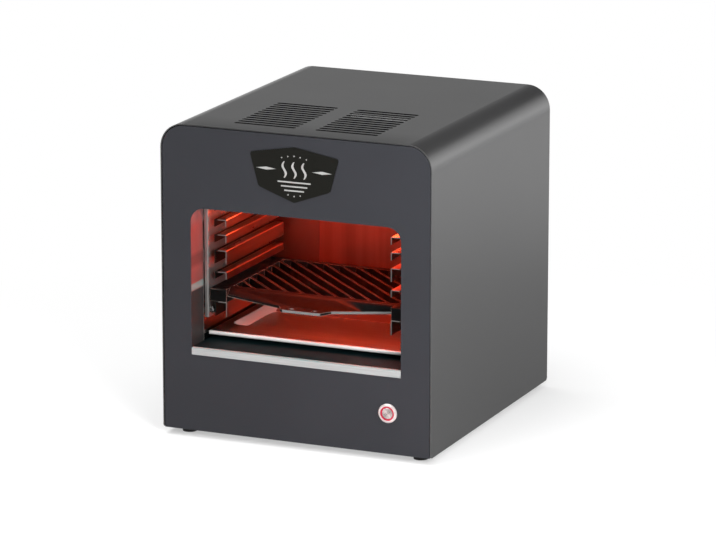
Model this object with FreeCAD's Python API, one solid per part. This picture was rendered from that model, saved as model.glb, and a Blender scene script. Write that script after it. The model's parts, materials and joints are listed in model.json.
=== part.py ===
import FreeCAD, Part
import math
import os

Vector = FreeCAD.Vector

# A counter-top electric grill: a powder-coated sheet-steel box with an open window,
# a stainless cavity lit and heated from above, side racks, a cast grate, a drip pan
# and an illuminated push button. Millimetres. The origin is on the floor under the
# middle of the case, +Z is up, the window faces -Y and +X is the button's side.

# Every cutter runs this far past the faces that it cuts
cut_over = 1.0

# Places closer together than this count as one
same_place = 1e-6

# Case
case_width = 330.0
case_depth = 360.0
case_height = 355.0
foot_stand = 8.0
cover_sheet = 1.2
cover_radius = 28.0
cover_low_corner = 4.0
cover_hem = 9.5
rear_flange = 10.0
panel_sheet = 1.2
panel_gap = 0.9
panel_flange = 12.0
panel_edge_radius = 0.6
hem_end_gap = 2.0
base_sheet = 1.2
base_lip = 9.0
base_side_gap = 0.3
seat_gap = 0.3

# Panel left standing around the window
window_side = 36.5
window_sill = 89.0
window_crown = 95.0
window_radius = 17.0

# Vents: slots with clipped corners in two columns
vent_length = 75.5
vent_width = 5.6
vent_clip = 1.8
vent_pitch = 10.55
vent_column_gap = 24.0
top_vent_count = 12
rear_vent_count = 6
base_vent_count = 6
rear_vent_top_gap = 40.0

# Feet
foot_top_radius = 9.5
foot_floor_radius = 8.2
foot_recess_radius = 4.6
foot_recess_depth = 4.5
foot_side_inset = 22.0
foot_front_inset = 24.0
foot_rear_inset = 50.0

# Stainless cavity
liner_sheet = 0.8
cavity_side_gap = 1.5
cavity_depth = 203.8
cavity_head_room = 14.0
wall_front_flange = 12.0
wall_top_flange = 12.0
wall_top_rise = 8.0
wall_return = 69.0
wall_foot_drop = 9.0
floor_skirt = 8.0
ceiling_skirt = 7.0
back_overlap = 8.0
liner_bend = 1.2

# Brushed trim on the window's lower edge
sill_height = 8.5
sill_band = 4.6
sill_tongue = 15.0
sill_hook = 11.0
sill_bend = 0.4
sill_side_gap = 0.3

# Side racks
rack_setback = 34.8
rack_rear_gap = 3.0
rack_standoff = 6.3
rack_front_return = 4.6
rack_sheet = 1.0
rack_bend = 0.8
rack_low_gap = 27.0
rack_top_gap = 8.0
runner_start = 2.4
runner_rear_gap = 10.0
runner_offset = 7.7
runner_width = 15.0
runner_sheet = 1.0
runner_heights = (17.2, 8.4, 15.6, 9.3, 8.8, 13.0)
runner_gaps = (26.6, 9.4, 9.0, 8.8, 9.7)
runner_top_margin = 3.0
spacer_flats = 6.0
spacer_inset = 40.0
rack_nut_flats = 7.0
rack_nut_collar = 3.0
rack_dome_radius = 3.3
rack_tip_radius = 1.8
rack_nut_length = 7.0
rack_nut_inset = 6.0
rack_nut_rise = 5.8

# Cast grate
grate_height = 15.0
grate_side_gap = 1.5
grate_wall = 2.6
grate_rear_gap = 2.0
rail_inner_step = 0.5
rail_edge_radius = 1.2
bar_depth = 8.0
bar_height = 8.0
rib_foot = 4.2
rib_crest = 2.8
rib_height = 9.0
rib_pitch = 14.6
rib_angle = 45.0
front_bar_setback = 11.0
apron_drop = 10.0
apron_corner_drop = 6.0
apron_corner_reach = 7.0
apron_reach = 19.0
apron_sheet = 3.0
tab_width = 64.0
tab_reach = 14.0
tab_corner = 5.0
tab_root = 8.0
tab_hole_radius = 3.0
tab_hole_spacing = 28.0

# Drip pan
pan_side_gap = 1.0
pan_setback = 41.8
pan_rear_gap = 3.0
pan_height = 9.0
pan_sheet = 0.8
pan_lip = 3.6
pan_bead_radius = 2.3
pan_bead_rise = 0.5
pan_side_flange = 9.5
pan_front_flange = 38.0
pan_rear_flange = 9.5
pan_draft = 10.0
pan_corner_radius = 12.0
pan_bend = 1.6

# Heater over the cavity
heater_side = 30.0
heater_depth = 124.0
heater_setback = 25.8
board_thickness = 18.0
board_rest = 6.0
ribbon_thickness = 0.6
ribbon_height = 7.0
ribbon_proud = 1.2
ribbon_runs = 7
ribbon_margin = 16.0
groove_play = 0.8
mat_thickness = 16.0
hood_gap = 4.0
hood_sheet = 0.8
hood_flange = 8.0
stud_radius = 2.0
stud_overlap = 1.0
stud_rise = 8.0
stud_play = 0.1
bush_radius = 4.0
bush_play = 0.2
bush_rise = 6.0
cutout_radius = 8.5
cutout_height = 10.0
cutout_tab_width = 6.0
cutout_tab_sheet = 0.8
cutout_tab_rise = 6.0
cutout_tab_spacing = 9.0
shield_air_gap = 8.2
shield_sheet = 0.8
shield_side_gap = 7.0
shield_front_inset = 14.0
shield_rear_inset = 5.0

# Frame inside the case
support_sheet = 1.5
support_width = 30.0
support_flange = 15.0
support_inset = 34.0
support_rear_inset = 5.0
bulkhead_gap = 35.0
bulkhead_sheet = 0.8
bulkhead_bend = 0.8
bulkhead_side_gap = 8.0
bulkhead_foot = 12.0
bulkhead_notch_width = 34.0
bulkhead_notch_height = 36.0

# Electrical parts behind the cavity
board_width = 120.0
board_height = 90.0
board_sheet = 1.6
board_low = 60.0
board_offset = 8.0
standoff_flats = 6.0
standoff_inset = 6.0
relay_size = (30.0, 24.0, 22.0)
relay_inset = 15.0
relay_low = 56.0
core_size = (34.0, 17.0, 30.0)
coil_size = (21.0, 28.0, 21.0)
core_inset = 13.0
core_low = 14.0
block_size = (44.0, 24.0, 22.0)
block_slot_width = 9.0
block_slot_depth = 7.0
block_rear_gap = 32.0

# Push button
button_side_inset = 52.0
button_rise = 47.3
bezel_radius = 11.0
bezel_proud = 2.5
bezel_edge = 1.1
barrel_radius = 9.4
barrel_bore = 8.3
barrel_length = 24.0
barrel_play = 0.15
ring_radius = 8.2
ring_bore = 6.7
ring_depth = 6.0
ring_sunk = 0.4
cap_play = 0.2
cap_proud = 2.3
cap_dish = 0.5
cap_dish_radius = 5.0
cap_edge = 0.6
cap_travel = 2.0
cap_collar = 0.3
cap_collar_play = 0.3
cap_collar_depth = 1.0
stem_radius = 2.4
stem_play = 0.1
stem_end_gap = 1.0
module_length = 14.0
module_seat = 8.5
module_bore_depth = 7.0
button_nut_flats = 24.0
button_nut_height = 3.5
blade_width = 2.8
blade_sheet = 0.5
blade_length = 6.0
blade_spacing = 6.0

# Badge
badge_top_width = 108.0
badge_low_width = 87.0
badge_side_height = 38.3
badge_crown = 9.3
badge_point = 15.8
badge_gap = 17.0
badge_sheet = 1.0
badge_corner = 4.5
badge_top_corner = 3.0

# Cord inlet in the back panel
inlet_side_inset = 55.0
inlet_rise = 40.0
inlet_bore = 4.0
inlet_radius = 7.0
inlet_flange_radius = 11.0
inlet_proud = 2.5
inlet_depth = 14.0
inlet_play = 0.15
inlet_nut_height = 4.0
inlet_nut_flats = 19.0
inlet_edge = 1.0

# Places that follow from the sizes above
front_y = -case_depth / 2
rear_y = case_depth / 2
case_half = case_width / 2
case_low = foot_stand
case_top = case_low + case_height
panel_back = front_y + panel_sheet
rear_panel_out = rear_y - cover_sheet
rear_panel_in = rear_panel_out - panel_sheet
panel_half = case_half - cover_sheet - panel_gap
panel_top = case_top - cover_sheet - panel_gap
panel_radius = cover_radius - cover_sheet - panel_gap
base_low = case_low + max(cover_sheet, panel_sheet)
base_top = base_low + base_sheet

window_width = case_width - 2 * window_side
window_low = case_low + window_sill
window_top = case_top - window_crown
floor_top = window_low + sill_height
cavity_half = window_width / 2 + cavity_side_gap
cavity_rear = panel_back + cavity_depth
ceiling_low = window_top + cavity_head_room
ceiling_top = ceiling_low + liner_sheet
wall_top = ceiling_low + wall_top_rise
wall_low = floor_top - wall_foot_drop

rack_front = panel_back + rack_setback
rack_rear = cavity_rear - rack_rear_gap
rack_low = floor_top + rack_low_gap
rack_top = ceiling_low - rack_top_gap
rack_face = cavity_half - rack_standoff
runner_outer = rack_face - runner_offset
runner_inner = runner_outer - runner_width

heater_width = 2 * (cavity_half - heater_side)
heater_front = panel_back + heater_setback
heater_rear = heater_front + heater_depth
heater_y = (heater_front + heater_rear) / 2
board_top = ceiling_top + board_thickness
mat_top = board_top + mat_thickness
hood_top = mat_top + hood_sheet
tallest_fitting = max(cutout_height + cutout_tab_rise, bush_rise + stud_rise)
shield_top = hood_top + tallest_fitting + shield_air_gap

button_x = case_half - button_side_inset
button_z = case_low + button_rise
inlet_x = case_half - inlet_side_inset
inlet_z = case_low + inlet_rise
bulkhead_y = cavity_rear + bulkhead_gap


def box(x0, x1, y0, y1, z0, z1):
    return Part.makeBox(x1 - x0, y1 - y0, z1 - z0, Vector(x0, y0, z0))


def cylinder_x(radius, x0, x1, y, z):
    return Part.makeCylinder(radius, x1 - x0, Vector(x0, y, z), Vector(1, 0, 0))


def cylinder_y(radius, x, z, y0, y1):
    return Part.makeCylinder(radius, y1 - y0, Vector(x, y0, z), Vector(0, 1, 0))


def cylinder_z(radius, x, y, z0, z1):
    return Part.makeCylinder(radius, z1 - z0, Vector(x, y, z0), Vector(0, 0, 1))


def join(shapes):
    first = shapes[0]
    return first.multiFuse(shapes[1:]).removeSplitter() if len(shapes) > 1 else first


def mirrored_x(shape):
    return shape.mirror(Vector(0, 0, 0), Vector(1, 0, 0))


def both_sides(shape):
    return [shape, mirrored_x(shape)]


def in_xy(z):
    return lambda u, v: Vector(u, v, z)


def in_xz(y):
    return lambda u, v: Vector(u, y, v)


def in_yz(x):
    return lambda u, v: Vector(x, u, v)


def outline(corners, place):
    """Closed wire through (u, v, radius) corners, each rounded by an arc its sides have room for."""
    count = len(corners)
    trims = []
    for i in range(count):
        u, v, radius = corners[i]
        here = Vector(u, v, 0)
        back = Vector(*corners[i - 1][:2], 0) - here
        ahead = Vector(*corners[(i + 1) % count][:2], 0) - here
        room = min(back.Length, ahead.Length) / 2
        back.normalize()
        ahead.normalize()
        half = back.getAngle(ahead) / 2
        if radius <= 0:
            trims.append((here, None, here))
            continue
        cut = min(radius / math.tan(half), room)
        radius = cut * math.tan(half)
        middle_way = (back + ahead).normalize()
        middle = here + middle_way * (radius / math.sin(half) - radius)
        trims.append((here + back * cut, middle, here + ahead * cut))
    edges = []
    for i in range(count):
        start, middle, end = trims[i]
        if middle is not None:
            arc = Part.Arc(place(start.x, start.y), place(middle.x, middle.y), place(end.x, end.y))
            edges.append(arc.toShape())
        following = trims[(i + 1) % count][0]
        if (following - end).Length > same_place:
            edges.append(Part.makeLine(place(end.x, end.y), place(following.x, following.y)))
    return Part.Wire(edges)


def prism(corners, place, along):
    return Part.Face(outline(corners, place)).extrude(along)


def bent_sheet(points, thickness, place, along, bend=0.0, sharp=()):
    """Sheet folded along an open line of (u, v) points, thickened to the left of its way.

    The inside of each fold has the bend radius, and points whose numbers are in sharp have none.
    """
    vectors = [Vector(u, v, 0) for u, v in points]
    ways = [(b - a).normalize() for a, b in zip(vectors, vectors[1:])]
    sides = [Vector(-way.y, way.x, 0) for way in ways]
    near = []
    far = []
    for i, here in enumerate(vectors):
        before = sides[max(i - 1, 0)]
        after = sides[min(i, len(sides) - 1)]
        middle = (before + after).normalize()
        reach = thickness / middle.dot(after)
        turn = ways[max(i - 1, 0)].cross(ways[min(i, len(ways) - 1)]).z
        near_radius = 0.0
        far_radius = 0.0
        if i in sharp:
            turn = 0.0
        if turn > same_place:
            near_radius = bend + thickness
            far_radius = bend
        if turn < -same_place:
            near_radius = bend
            far_radius = bend + thickness
        shifted = here + middle * reach
        near.append((here.x, here.y, near_radius))
        far.append((shifted.x, shifted.y, far_radius))
    return prism(near + far[::-1], place, along)


def arch(half, low, high, radius):
    return [(-half, low, 0.0), (half, low, 0.0), (half, high, radius), (-half, high, radius)]


def slot(x0, x1, centre, place, along):
    """Vent slot whose long side runs along X, its corners clipped."""
    half = vent_width / 2
    step = half - vent_clip
    points = [(x0 + vent_clip, centre - half), (x1 - vent_clip, centre - half), (x1, centre - step),
              (x1, centre + step), (x1 - vent_clip, centre + half), (x0 + vent_clip, centre + half),
              (x0, centre + step), (x0, centre - step)]
    return prism([(u, v, 0.0) for u, v in points], place, along)


def vent_slots(count, centre, place, along):
    slots = []
    first = centre - vent_pitch * (count - 1) / 2
    for row in range(count):
        for side in (-1, 1):
            ends = sorted((side * vent_column_gap / 2, side * (vent_column_gap / 2 + vent_length)))
            slots.append(slot(ends[0], ends[1], first + row * vent_pitch, place, along))
    return Part.makeCompound(slots)


def hexagon_prism(flats, centre, way, length):
    """Hexagonal bar with its flats a given distance apart."""
    radius = flats / math.sqrt(3)
    frame = FreeCAD.Placement(centre, FreeCAD.Rotation(Vector(0, 0, 1), way))
    points = [Vector(radius * math.cos(math.radians(60 * k)), radius * math.sin(math.radians(60 * k)), 0)
              for k in range(7)]
    bar = Part.Face(Part.makePolygon(points)).extrude(Vector(0, 0, length))
    bar.Placement = frame
    return bar


def turned_y(profile, x, z):
    """Body of revolution about a line along Y, from (radius, y) corners with radii."""
    face = Part.Face(outline(profile, lambda r, y: Vector(r, y, 0)))
    body = face.revolve(Vector(0, 0, 0), Vector(0, 1, 0), 360)
    body.translate(Vector(x, 0, z))
    return body


def outer_cover():
    along = Vector(0, case_depth, 0)
    shell = prism(arch(case_half, case_low, case_top, cover_radius), in_xz(front_y), along)
    hollow = prism(arch(case_half - cover_sheet, case_low - cut_over, case_top - cover_sheet,
                        cover_radius - cover_sheet), in_xz(front_y), along)
    shell = shell.cut(hollow)
    side_view = [(front_y, case_low, cover_low_corner), (rear_y, case_low, cover_low_corner),
                 (rear_y, case_top, 0.0), (front_y, case_top, 0.0)]
    shell = shell.common(prism(side_view, in_yz(-case_half), Vector(case_width, 0, 0)))
    hem_front = front_y + panel_flange + hem_end_gap
    hem_rear = rear_panel_out - panel_flange - hem_end_gap
    hem = box(case_half - cover_hem, case_half, hem_front, hem_rear, case_low, case_low + cover_sheet)
    flange_low = case_low + cover_low_corner
    rim = prism(arch(case_half, flange_low, case_top, cover_radius), in_xz(rear_panel_out),
                Vector(0, cover_sheet, 0))
    rim_hole = prism(arch(case_half - rear_flange, flange_low - rear_flange, case_top - rear_flange,
                          cover_radius - rear_flange), in_xz(rear_panel_out), Vector(0, cover_sheet, 0))
    rim = rim.cut(rim_hole)
    shell = join([shell, rim] + both_sides(hem))
    vents = vent_slots(top_vent_count, heater_y, in_xy(case_top - cover_sheet - cut_over),
                       Vector(0, 0, cover_sheet + 2 * cut_over))
    return shell.cut(vents)


def lidded_panel(outer, inner, opening_side):
    """Pressed panel with a return flange all round, like a shallow lid."""
    flange_end = inner + opening_side * (panel_flange - panel_sheet)
    low, high = sorted((outer, flange_end))
    block = prism(arch(panel_half, case_low, panel_top, panel_radius), in_xz(low),
                  Vector(0, high - low, 0))
    low, high = sorted((inner, flange_end + opening_side * cut_over))
    hollow = prism(arch(panel_half - panel_sheet, case_low + panel_sheet, panel_top - panel_sheet,
                        panel_radius - panel_sheet), in_xz(low), Vector(0, high - low, 0))
    return block.cut(hollow)


def front_panel():
    panel = lidded_panel(front_y, panel_back, 1)
    rim = [edge for edge in panel.Edges if edge.BoundBox.YMax < front_y + same_place]
    panel = panel.makeFillet(panel_edge_radius, rim)
    window = prism(arch(window_width / 2, window_low, window_top, window_radius), in_xz(front_y - cut_over),
                   Vector(0, panel_sheet + 2 * cut_over, 0))
    button_hole = cylinder_y(barrel_radius + barrel_play, button_x, button_z, front_y - cut_over,
                             panel_back + cut_over)
    return panel.cut(Part.makeCompound([window, button_hole]))


def back_panel():
    panel = lidded_panel(rear_panel_out, rear_panel_in, -1)
    vents = vent_slots(rear_vent_count, case_top - rear_vent_top_gap - vent_pitch * rear_vent_count / 2,
                       in_xz(rear_panel_in - cut_over), Vector(0, panel_sheet + 2 * cut_over, 0))
    inlet_hole = cylinder_y(inlet_radius + inlet_play, inlet_x, inlet_z, rear_panel_in - cut_over,
                            rear_panel_out + cut_over)
    return panel.cut(Part.makeCompound([vents, inlet_hole]))


def foot_places():
    x = case_half - foot_side_inset
    return [(side * x, y) for y in (front_y + foot_front_inset, rear_y - foot_rear_inset)
            for side in (-1, 1)]


def base_plate():
    half = panel_half - panel_sheet - base_side_gap
    front = panel_back + seat_gap
    rear = rear_panel_in - seat_gap
    plate = box(-half, half, front, rear, base_low, base_top)
    lip_half = half - panel_radius / 2
    lip_top = base_top + base_lip
    front_lip = box(-lip_half, lip_half, front, front + base_sheet, base_top, lip_top)
    rear_lip = box(-lip_half, lip_half, rear - base_sheet, rear, base_top, lip_top)
    vents = vent_slots(base_vent_count, heater_y, in_xy(base_low - cut_over),
                       Vector(0, 0, base_sheet + 2 * cut_over))
    return join([plate, front_lip, rear_lip]).cut(vents)


def rubber_feet():
    profile = [(0.0, base_low, 0.0), (foot_top_radius, base_low, 0.0), (foot_floor_radius, 0.0, 0.0),
               (foot_recess_radius, 0.0, 0.0), (foot_recess_radius, foot_recess_depth, 0.0),
               (0.0, foot_recess_depth, 0.0)]
    face = Part.Face(outline(profile, lambda r, z: Vector(r, 0, z)))
    foot = face.revolve(Vector(0, 0, 0), Vector(0, 0, 1), 360)
    feet = []
    for x, y in foot_places():
        copy = foot.copy()
        copy.translate(Vector(x, y, 0))
        feet.append(copy)
    return Part.makeCompound(feet)


def sill_trim():
    """Trim that hooks over the window's lower edge and carries the floor's front."""
    half = window_width / 2 - sill_side_gap
    tongue_top = floor_top - liner_sheet
    points = [(floor_front() + sill_tongue, tongue_top), (floor_front(), tongue_top),
              (front_y + sill_band, floor_top), (front_y, floor_top), (front_y, window_low),
              (panel_back, window_low), (panel_back, window_low - sill_hook)]
    hook = len(points) - 2
    return bent_sheet(points, liner_sheet, in_yz(-half), Vector(2 * half, 0, 0), sill_bend, (hook,))


def floor_front():
    """Where the trim steps down from its rounded band to the tongue under the floor."""
    return front_y + sill_band + liner_sheet


def cavity_floor():
    """Floor sheet with skirts folded down against the walls and the back."""
    skirt_low = floor_top - floor_skirt
    points = [(cavity_half, skirt_low), (cavity_half, floor_top), (-cavity_half, floor_top),
              (-cavity_half, skirt_low)]
    front = floor_front() + seat_gap
    rear = cavity_rear - liner_bend
    return bent_sheet(points, liner_sheet, in_xz(front), Vector(0, rear - front, 0), liner_bend)


def cavity_wall():
    """Side wall: front flange, polished side, return flange at the rear, flange on top."""
    outer = cavity_half + liner_sheet
    plan = [(cavity_half - wall_return, cavity_rear), (cavity_half, cavity_rear), (cavity_half, panel_back),
            (cavity_half + wall_front_flange, panel_back)]
    wall = bent_sheet(plan, liner_sheet, in_xy(wall_low), Vector(0, 0, wall_top - wall_low), liner_bend)
    flange = box(outer, outer + wall_top_flange, panel_back + wall_front_flange, cavity_rear,
                 wall_top - liner_sheet, wall_top)
    return join([wall, flange])


def cavity_back():
    half = cavity_half - wall_return + back_overlap
    front = cavity_rear + liner_sheet
    return box(-half, half, front, front + liner_sheet, wall_low, wall_top)


def cavity_ceiling():
    """Ceiling sheet with a heater opening and skirts folded up against the walls."""
    skirt_top = ceiling_top + ceiling_skirt
    points = [(-cavity_half, skirt_top), (-cavity_half, ceiling_low), (cavity_half, ceiling_low),
              (cavity_half, skirt_top)]
    sheet = bent_sheet(points, liner_sheet, in_xz(panel_back), Vector(0, cavity_depth - liner_bend, 0),
                       liner_bend)
    half = heater_width / 2 - board_rest
    opening = box(-half, half, heater_front + board_rest, heater_rear - board_rest,
                  ceiling_low - cut_over, ceiling_top + cut_over)
    return sheet.cut(opening)


def runner_levels():
    """Lower and upper Z of each runner that fits under the rack's top, from below."""
    levels = []
    low = rack_low + runner_start
    for height, gap in zip(runner_heights, runner_gaps + (0.0,)):
        if low + height > rack_top - runner_top_margin:
            break
        levels.append((low, low + height))
        low += height + gap
    return levels


def rack_nut_places():
    """Axis places (y, z) of the cap nuts at the front of each rack, one low and one high."""
    lowest = runner_levels()[0]
    highest = runner_levels()[-1]
    levels = (lowest[0] + rack_nut_rise, (highest[0] + highest[1]) / 2)
    return [(rack_front + rack_nut_inset, z) for z in levels]


def rack_plate():
    """Rack side plate: a flange against the wall at the rear, a short return at the front."""
    height = Vector(0, 0, rack_top - rack_low)
    plan = [(cavity_half, rack_rear), (rack_face, rack_rear), (rack_face, rack_front),
            (rack_face + rack_front_return, rack_front)]
    return bent_sheet(plan, rack_sheet, in_xy(rack_low), height, rack_bend)


def rack_runners():
    """Ledges of one rack: channels open below, their top carries a grate or a tray."""
    runners = []
    for low, high in runner_levels():
        section = [(runner_outer, low), (runner_outer, high), (runner_inner, high), (runner_inner, low)]
        runners.append(bent_sheet(section, runner_sheet, in_xz(rack_front),
                                  Vector(0, rack_rear - runner_rear_gap - rack_front, 0)))
    return runners


def rack_spacers():
    """Hexagonal spacers between plate and runners, and between plate and wall at the nuts."""
    spacers = []
    for low, high in runner_levels():
        middle = (low + high) / 2
        for y in (rack_front + spacer_inset, rack_rear - spacer_inset):
            spacer = hexagon_prism(spacer_flats, Vector(runner_outer, y, middle), Vector(1, 0, 0),
                                   rack_face - runner_outer)
            spacers.extend(both_sides(spacer))
    plate_back = rack_face + rack_sheet
    for y, z in rack_nut_places():
        post = hexagon_prism(spacer_flats, Vector(plate_back, y, z), Vector(1, 0, 0),
                             cavity_half - plate_back)
        spacers.extend(both_sides(post))
    return Part.makeCompound(spacers)


def rack_cap_nuts():
    """Cap nuts on the rack's face: a hexagon with a tapered crown."""
    nuts = []
    tip = rack_face - rack_nut_length
    for y, z in rack_nut_places():
        collar = rack_face - rack_nut_collar
        hexagon = hexagon_prism(rack_nut_flats, Vector(collar, y, z), Vector(1, 0, 0), rack_nut_collar)
        crown = Part.makeCone(rack_tip_radius, rack_dome_radius, collar - tip, Vector(tip, y, z),
                              Vector(1, 0, 0))
        nuts.extend(both_sides(join([hexagon, crown])))
    return Part.makeCompound(nuts)


def grate_seat():
    """Top of the lowest runner, where the grate's rails rest."""
    return runner_levels()[0][1]


def apron_slab(back, front, thickness):
    """Closed slab between two lines of points with as many points each."""
    drop = Vector(0, 0, -thickness)
    faces = []

    def add(points):
        faces.append(Part.Face(Part.makePolygon(points + points[:1])))

    for i in range(len(back) - 1):
        for a, b, c in ((back[i], back[i + 1], front[i + 1]), (back[i], front[i + 1], front[i])):
            if (b - a).cross(c - a).Length < same_place:
                continue
            add([a, b, c])
            add([a + drop, c + drop, b + drop])
    loop = back + front[::-1]
    for a, b in zip(loop, loop[1:] + loop[:1]):
        add([a, b, b + drop])
        add([a, b + drop, a + drop])
    return Part.Solid(Part.Shell(faces))


def grill_grate():
    """Cast grate: hollow side rails, bars, slanting ribs, sloped apron and finger tab."""
    low = grate_seat()
    top = low + grate_height
    outer = rack_face - grate_side_gap
    inner = runner_inner + rail_inner_step
    front = rack_front
    rear = rack_rear - grate_rear_gap
    rail = box(inner, outer, front, rear, low, top)
    crown = [edge for edge in rail.Edges if edge.BoundBox.ZMin > top - same_place
             and edge.BoundBox.XMax > outer - same_place]
    rail = rail.makeFillet(rail_edge_radius, crown)
    rail = rail.cut(box(inner + grate_wall, outer - grate_wall, front + grate_wall, rear - grate_wall,
                        low - cut_over, top - grate_wall))
    bar_front = front + front_bar_setback
    bar_low = top - bar_height
    front_bar = box(-inner, inner, bar_front, bar_front + bar_depth, bar_low, top)
    rear_bar = box(-inner, inner, rear - bar_depth, rear, bar_low, top)
    field = box(-inner, inner, bar_front + bar_depth, rear - bar_depth, top - rib_height - cut_over,
                top + cut_over)
    ribs = [rib.common(field) for rib in slanting_ribs(bar_front + bar_depth, rear - bar_depth, inner, top)]
    ribs = [rib for rib in ribs if rib.Solids]
    grate = join(both_sides(rail) + [front_bar, rear_bar, grate_apron(bar_front, top, inner)] + ribs)
    holes = [cylinder_z(tab_hole_radius, x, y, low - cut_over, top + cut_over) for x, y in tab_hole_places()]
    return grate.cut(Part.makeCompound(holes))


def tab_hole_places():
    y = rack_front + front_bar_setback - apron_reach - tab_reach / 2
    return [(side * tab_hole_spacing / 2, y) for side in (-1, 1)]


def slanting_ribs(front, rear, half, top):
    """Tapered ribs whose front ends lie further along +X than their rear ends."""
    way = Vector(math.cos(math.radians(rib_angle)), -math.sin(math.radians(rib_angle)), 0)
    across = Vector(-way.y, way.x, 0)
    middle_y = (front + rear) / 2
    reach = math.hypot(2 * half, rear - front)
    count = int(reach / rib_pitch / 2) + 1
    ribs = []
    for step in range(-count, count + 1):
        middle = Vector(0, middle_y, 0) + across * (step * rib_pitch)
        start = middle - way * (reach / 2)
        section = [(-rib_foot / 2, top - rib_height), (rib_foot / 2, top - rib_height),
                   (rib_crest / 2, top), (-rib_crest / 2, top)]
        points = [start + across * u + Vector(0, 0, v) for u, v in section]
        face = Part.Face(Part.makePolygon(points + points[:1]))
        ribs.append(face.extrude(way * reach))
    return ribs


def grate_apron(bar_front, top, inner):
    """Sloped plate in front of the ribs that ends in a level tab."""
    lip = top - apron_drop
    corner = top - apron_corner_drop
    tab = tab_width / 2
    back = [Vector(-inner, bar_front, top), Vector(-tab, bar_front, top),
            Vector(tab, bar_front, top), Vector(inner, bar_front, top)]
    front = [Vector(-inner, bar_front - apron_corner_reach, corner),
             Vector(-tab, bar_front - apron_reach, lip), Vector(tab, bar_front - apron_reach, lip),
             Vector(inner, bar_front - apron_corner_reach, corner)]
    slope = apron_slab(back, front, apron_sheet)
    tip = bar_front - apron_reach - tab_reach
    root = bar_front - apron_reach
    plan = [(-tab, root, 0.0), (-tab + tab_root, tip, tab_corner), (tab - tab_root, tip, tab_corner),
            (tab, root, 0.0)]
    return slope.fuse(prism(plan, in_xy(lip - apron_sheet), Vector(0, 0, apron_sheet)))


def drip_pan():
    """Drawn pan: level flange, draughted basin, a lip folded down and a rolled front edge."""
    half = window_width / 2 - pan_side_gap
    front = panel_back + pan_setback
    rear = cavity_rear - pan_rear_gap
    top = floor_top + pan_height
    rim = [(-half, front, pan_bend), (half, front, pan_bend), (half, rear, pan_bend),
           (-half, rear, pan_bend)]
    blank = prism(rim, in_xy(top - pan_lip), Vector(0, 0, pan_lip))
    inset = [(-half + pan_sheet, front + pan_sheet, pan_bend - pan_sheet),
             (half - pan_sheet, front + pan_sheet, pan_bend - pan_sheet),
             (half - pan_sheet, rear - pan_sheet, pan_bend - pan_sheet),
             (-half + pan_sheet, rear - pan_sheet, pan_bend - pan_sheet)]
    skirt = blank.cut(prism(inset, in_xy(top - pan_lip - cut_over),
                            Vector(0, 0, pan_lip + cut_over - pan_sheet)))

    def basin(grow, upper, lower):
        wires = []
        for z in (lower, upper):
            share = (z - floor_top) / pan_height
            slope = pan_draft * (1 - share) - grow
            x = half - pan_side_flange - slope
            near = front + pan_front_flange + slope
            far = rear - pan_rear_flange - slope
            radius = pan_corner_radius
            corners = [(-x, near, radius), (x, near, radius), (x, far, radius), (-x, far, radius)]
            wires.append(outline(corners, in_xy(z)))
        return Part.makeLoft(wires, True, True)

    outer = basin(pan_sheet, top, floor_top)
    inner = basin(0.0, top + cut_over, floor_top + pan_sheet)
    reach = half - pan_bend
    bead_y = front + pan_bead_radius - pan_bead_rise
    bead_z = top - pan_bead_radius + pan_bead_rise
    bead = cylinder_x(pan_bead_radius, -reach, reach, bead_y, bead_z)
    bore = cylinder_x(pan_bead_radius - pan_sheet, -reach, reach, bead_y, bead_z)
    room = box(-reach, reach, front - cut_over, bead_y, top - pan_lip - cut_over, top + cut_over)
    return join([skirt.cut(room), outer, bead]).cut(Part.makeCompound([inner, bore]))


def ribbon_pitch():
    return (heater_depth - 2 * ribbon_margin) / (ribbon_runs - 1)


def ribbon_half():
    """Half the length of the ribbon's straight runs."""
    return heater_width / 2 - ribbon_margin - ribbon_pitch() / 2


def ribbon_lines():
    return [heater_front + ribbon_margin + run * ribbon_pitch() for run in range(ribbon_runs)]


def ribbon_ends():
    """Where the ribbon's two free ends lie."""
    lines = ribbon_lines()
    end_side = 1 if ribbon_runs % 2 == 1 else -1
    return [(-ribbon_half(), lines[0]), (end_side * ribbon_half(), lines[-1])]


def heating_ribbon():
    """Serpentine band: straight runs along X joined by half rings."""
    turn = ribbon_pitch() / 2
    half = ribbon_half()
    low = ceiling_top - ribbon_proud
    high = low + ribbon_height
    edge = ribbon_thickness / 2
    pieces = []
    for run, y in enumerate(ribbon_lines()):
        pieces.append(box(-half, half, y - edge, y + edge, low, high))
        if run == ribbon_runs - 1:
            continue
        side = 1 if run % 2 == 0 else -1
        centre = Vector(side * half, y + turn, low)
        ring = Part.makeCylinder(turn + edge, ribbon_height, centre)
        ring = ring.cut(Part.makeCylinder(turn - edge, ribbon_height, centre))
        reach = turn + ribbon_thickness
        near, far = sorted((side * half, side * (half + reach)))
        pieces.append(ring.common(box(near, far, centre.y - reach, centre.y + reach, low, high)))
    return join(pieces)


def ceramic_board():
    """Fibre-ceramic board: a groove for each run of the ribbon, a pocket for its turns at each end."""
    half = heater_width / 2
    board = box(-half, half, heater_front, heater_rear, ceiling_top, board_top)
    low = ceiling_top - cut_over
    high = ceiling_top - ribbon_proud + ribbon_height
    edge = ribbon_thickness / 2 + groove_play
    lines = ribbon_lines()
    grooves = [box(-ribbon_half(), ribbon_half(), y - edge, y + edge, low, high) for y in lines]
    end = ribbon_half() + ribbon_pitch() / 2 + edge
    pocket = box(ribbon_half(), end, lines[0] - edge, lines[-1] + edge, low, high)
    studs = [cylinder_z(stud_radius + stud_play, x, y, ceiling_top - cut_over, board_top + cut_over)
             for x, y in stud_places()]
    return board.cut(join(grooves + both_sides(pocket))).cut(Part.makeCompound(studs))


def stud_places():
    """Terminal studs stand on the ribbon's free ends."""
    return [(x + math.copysign(stud_radius - stud_overlap, x), y) for x, y in ribbon_ends()]


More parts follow.
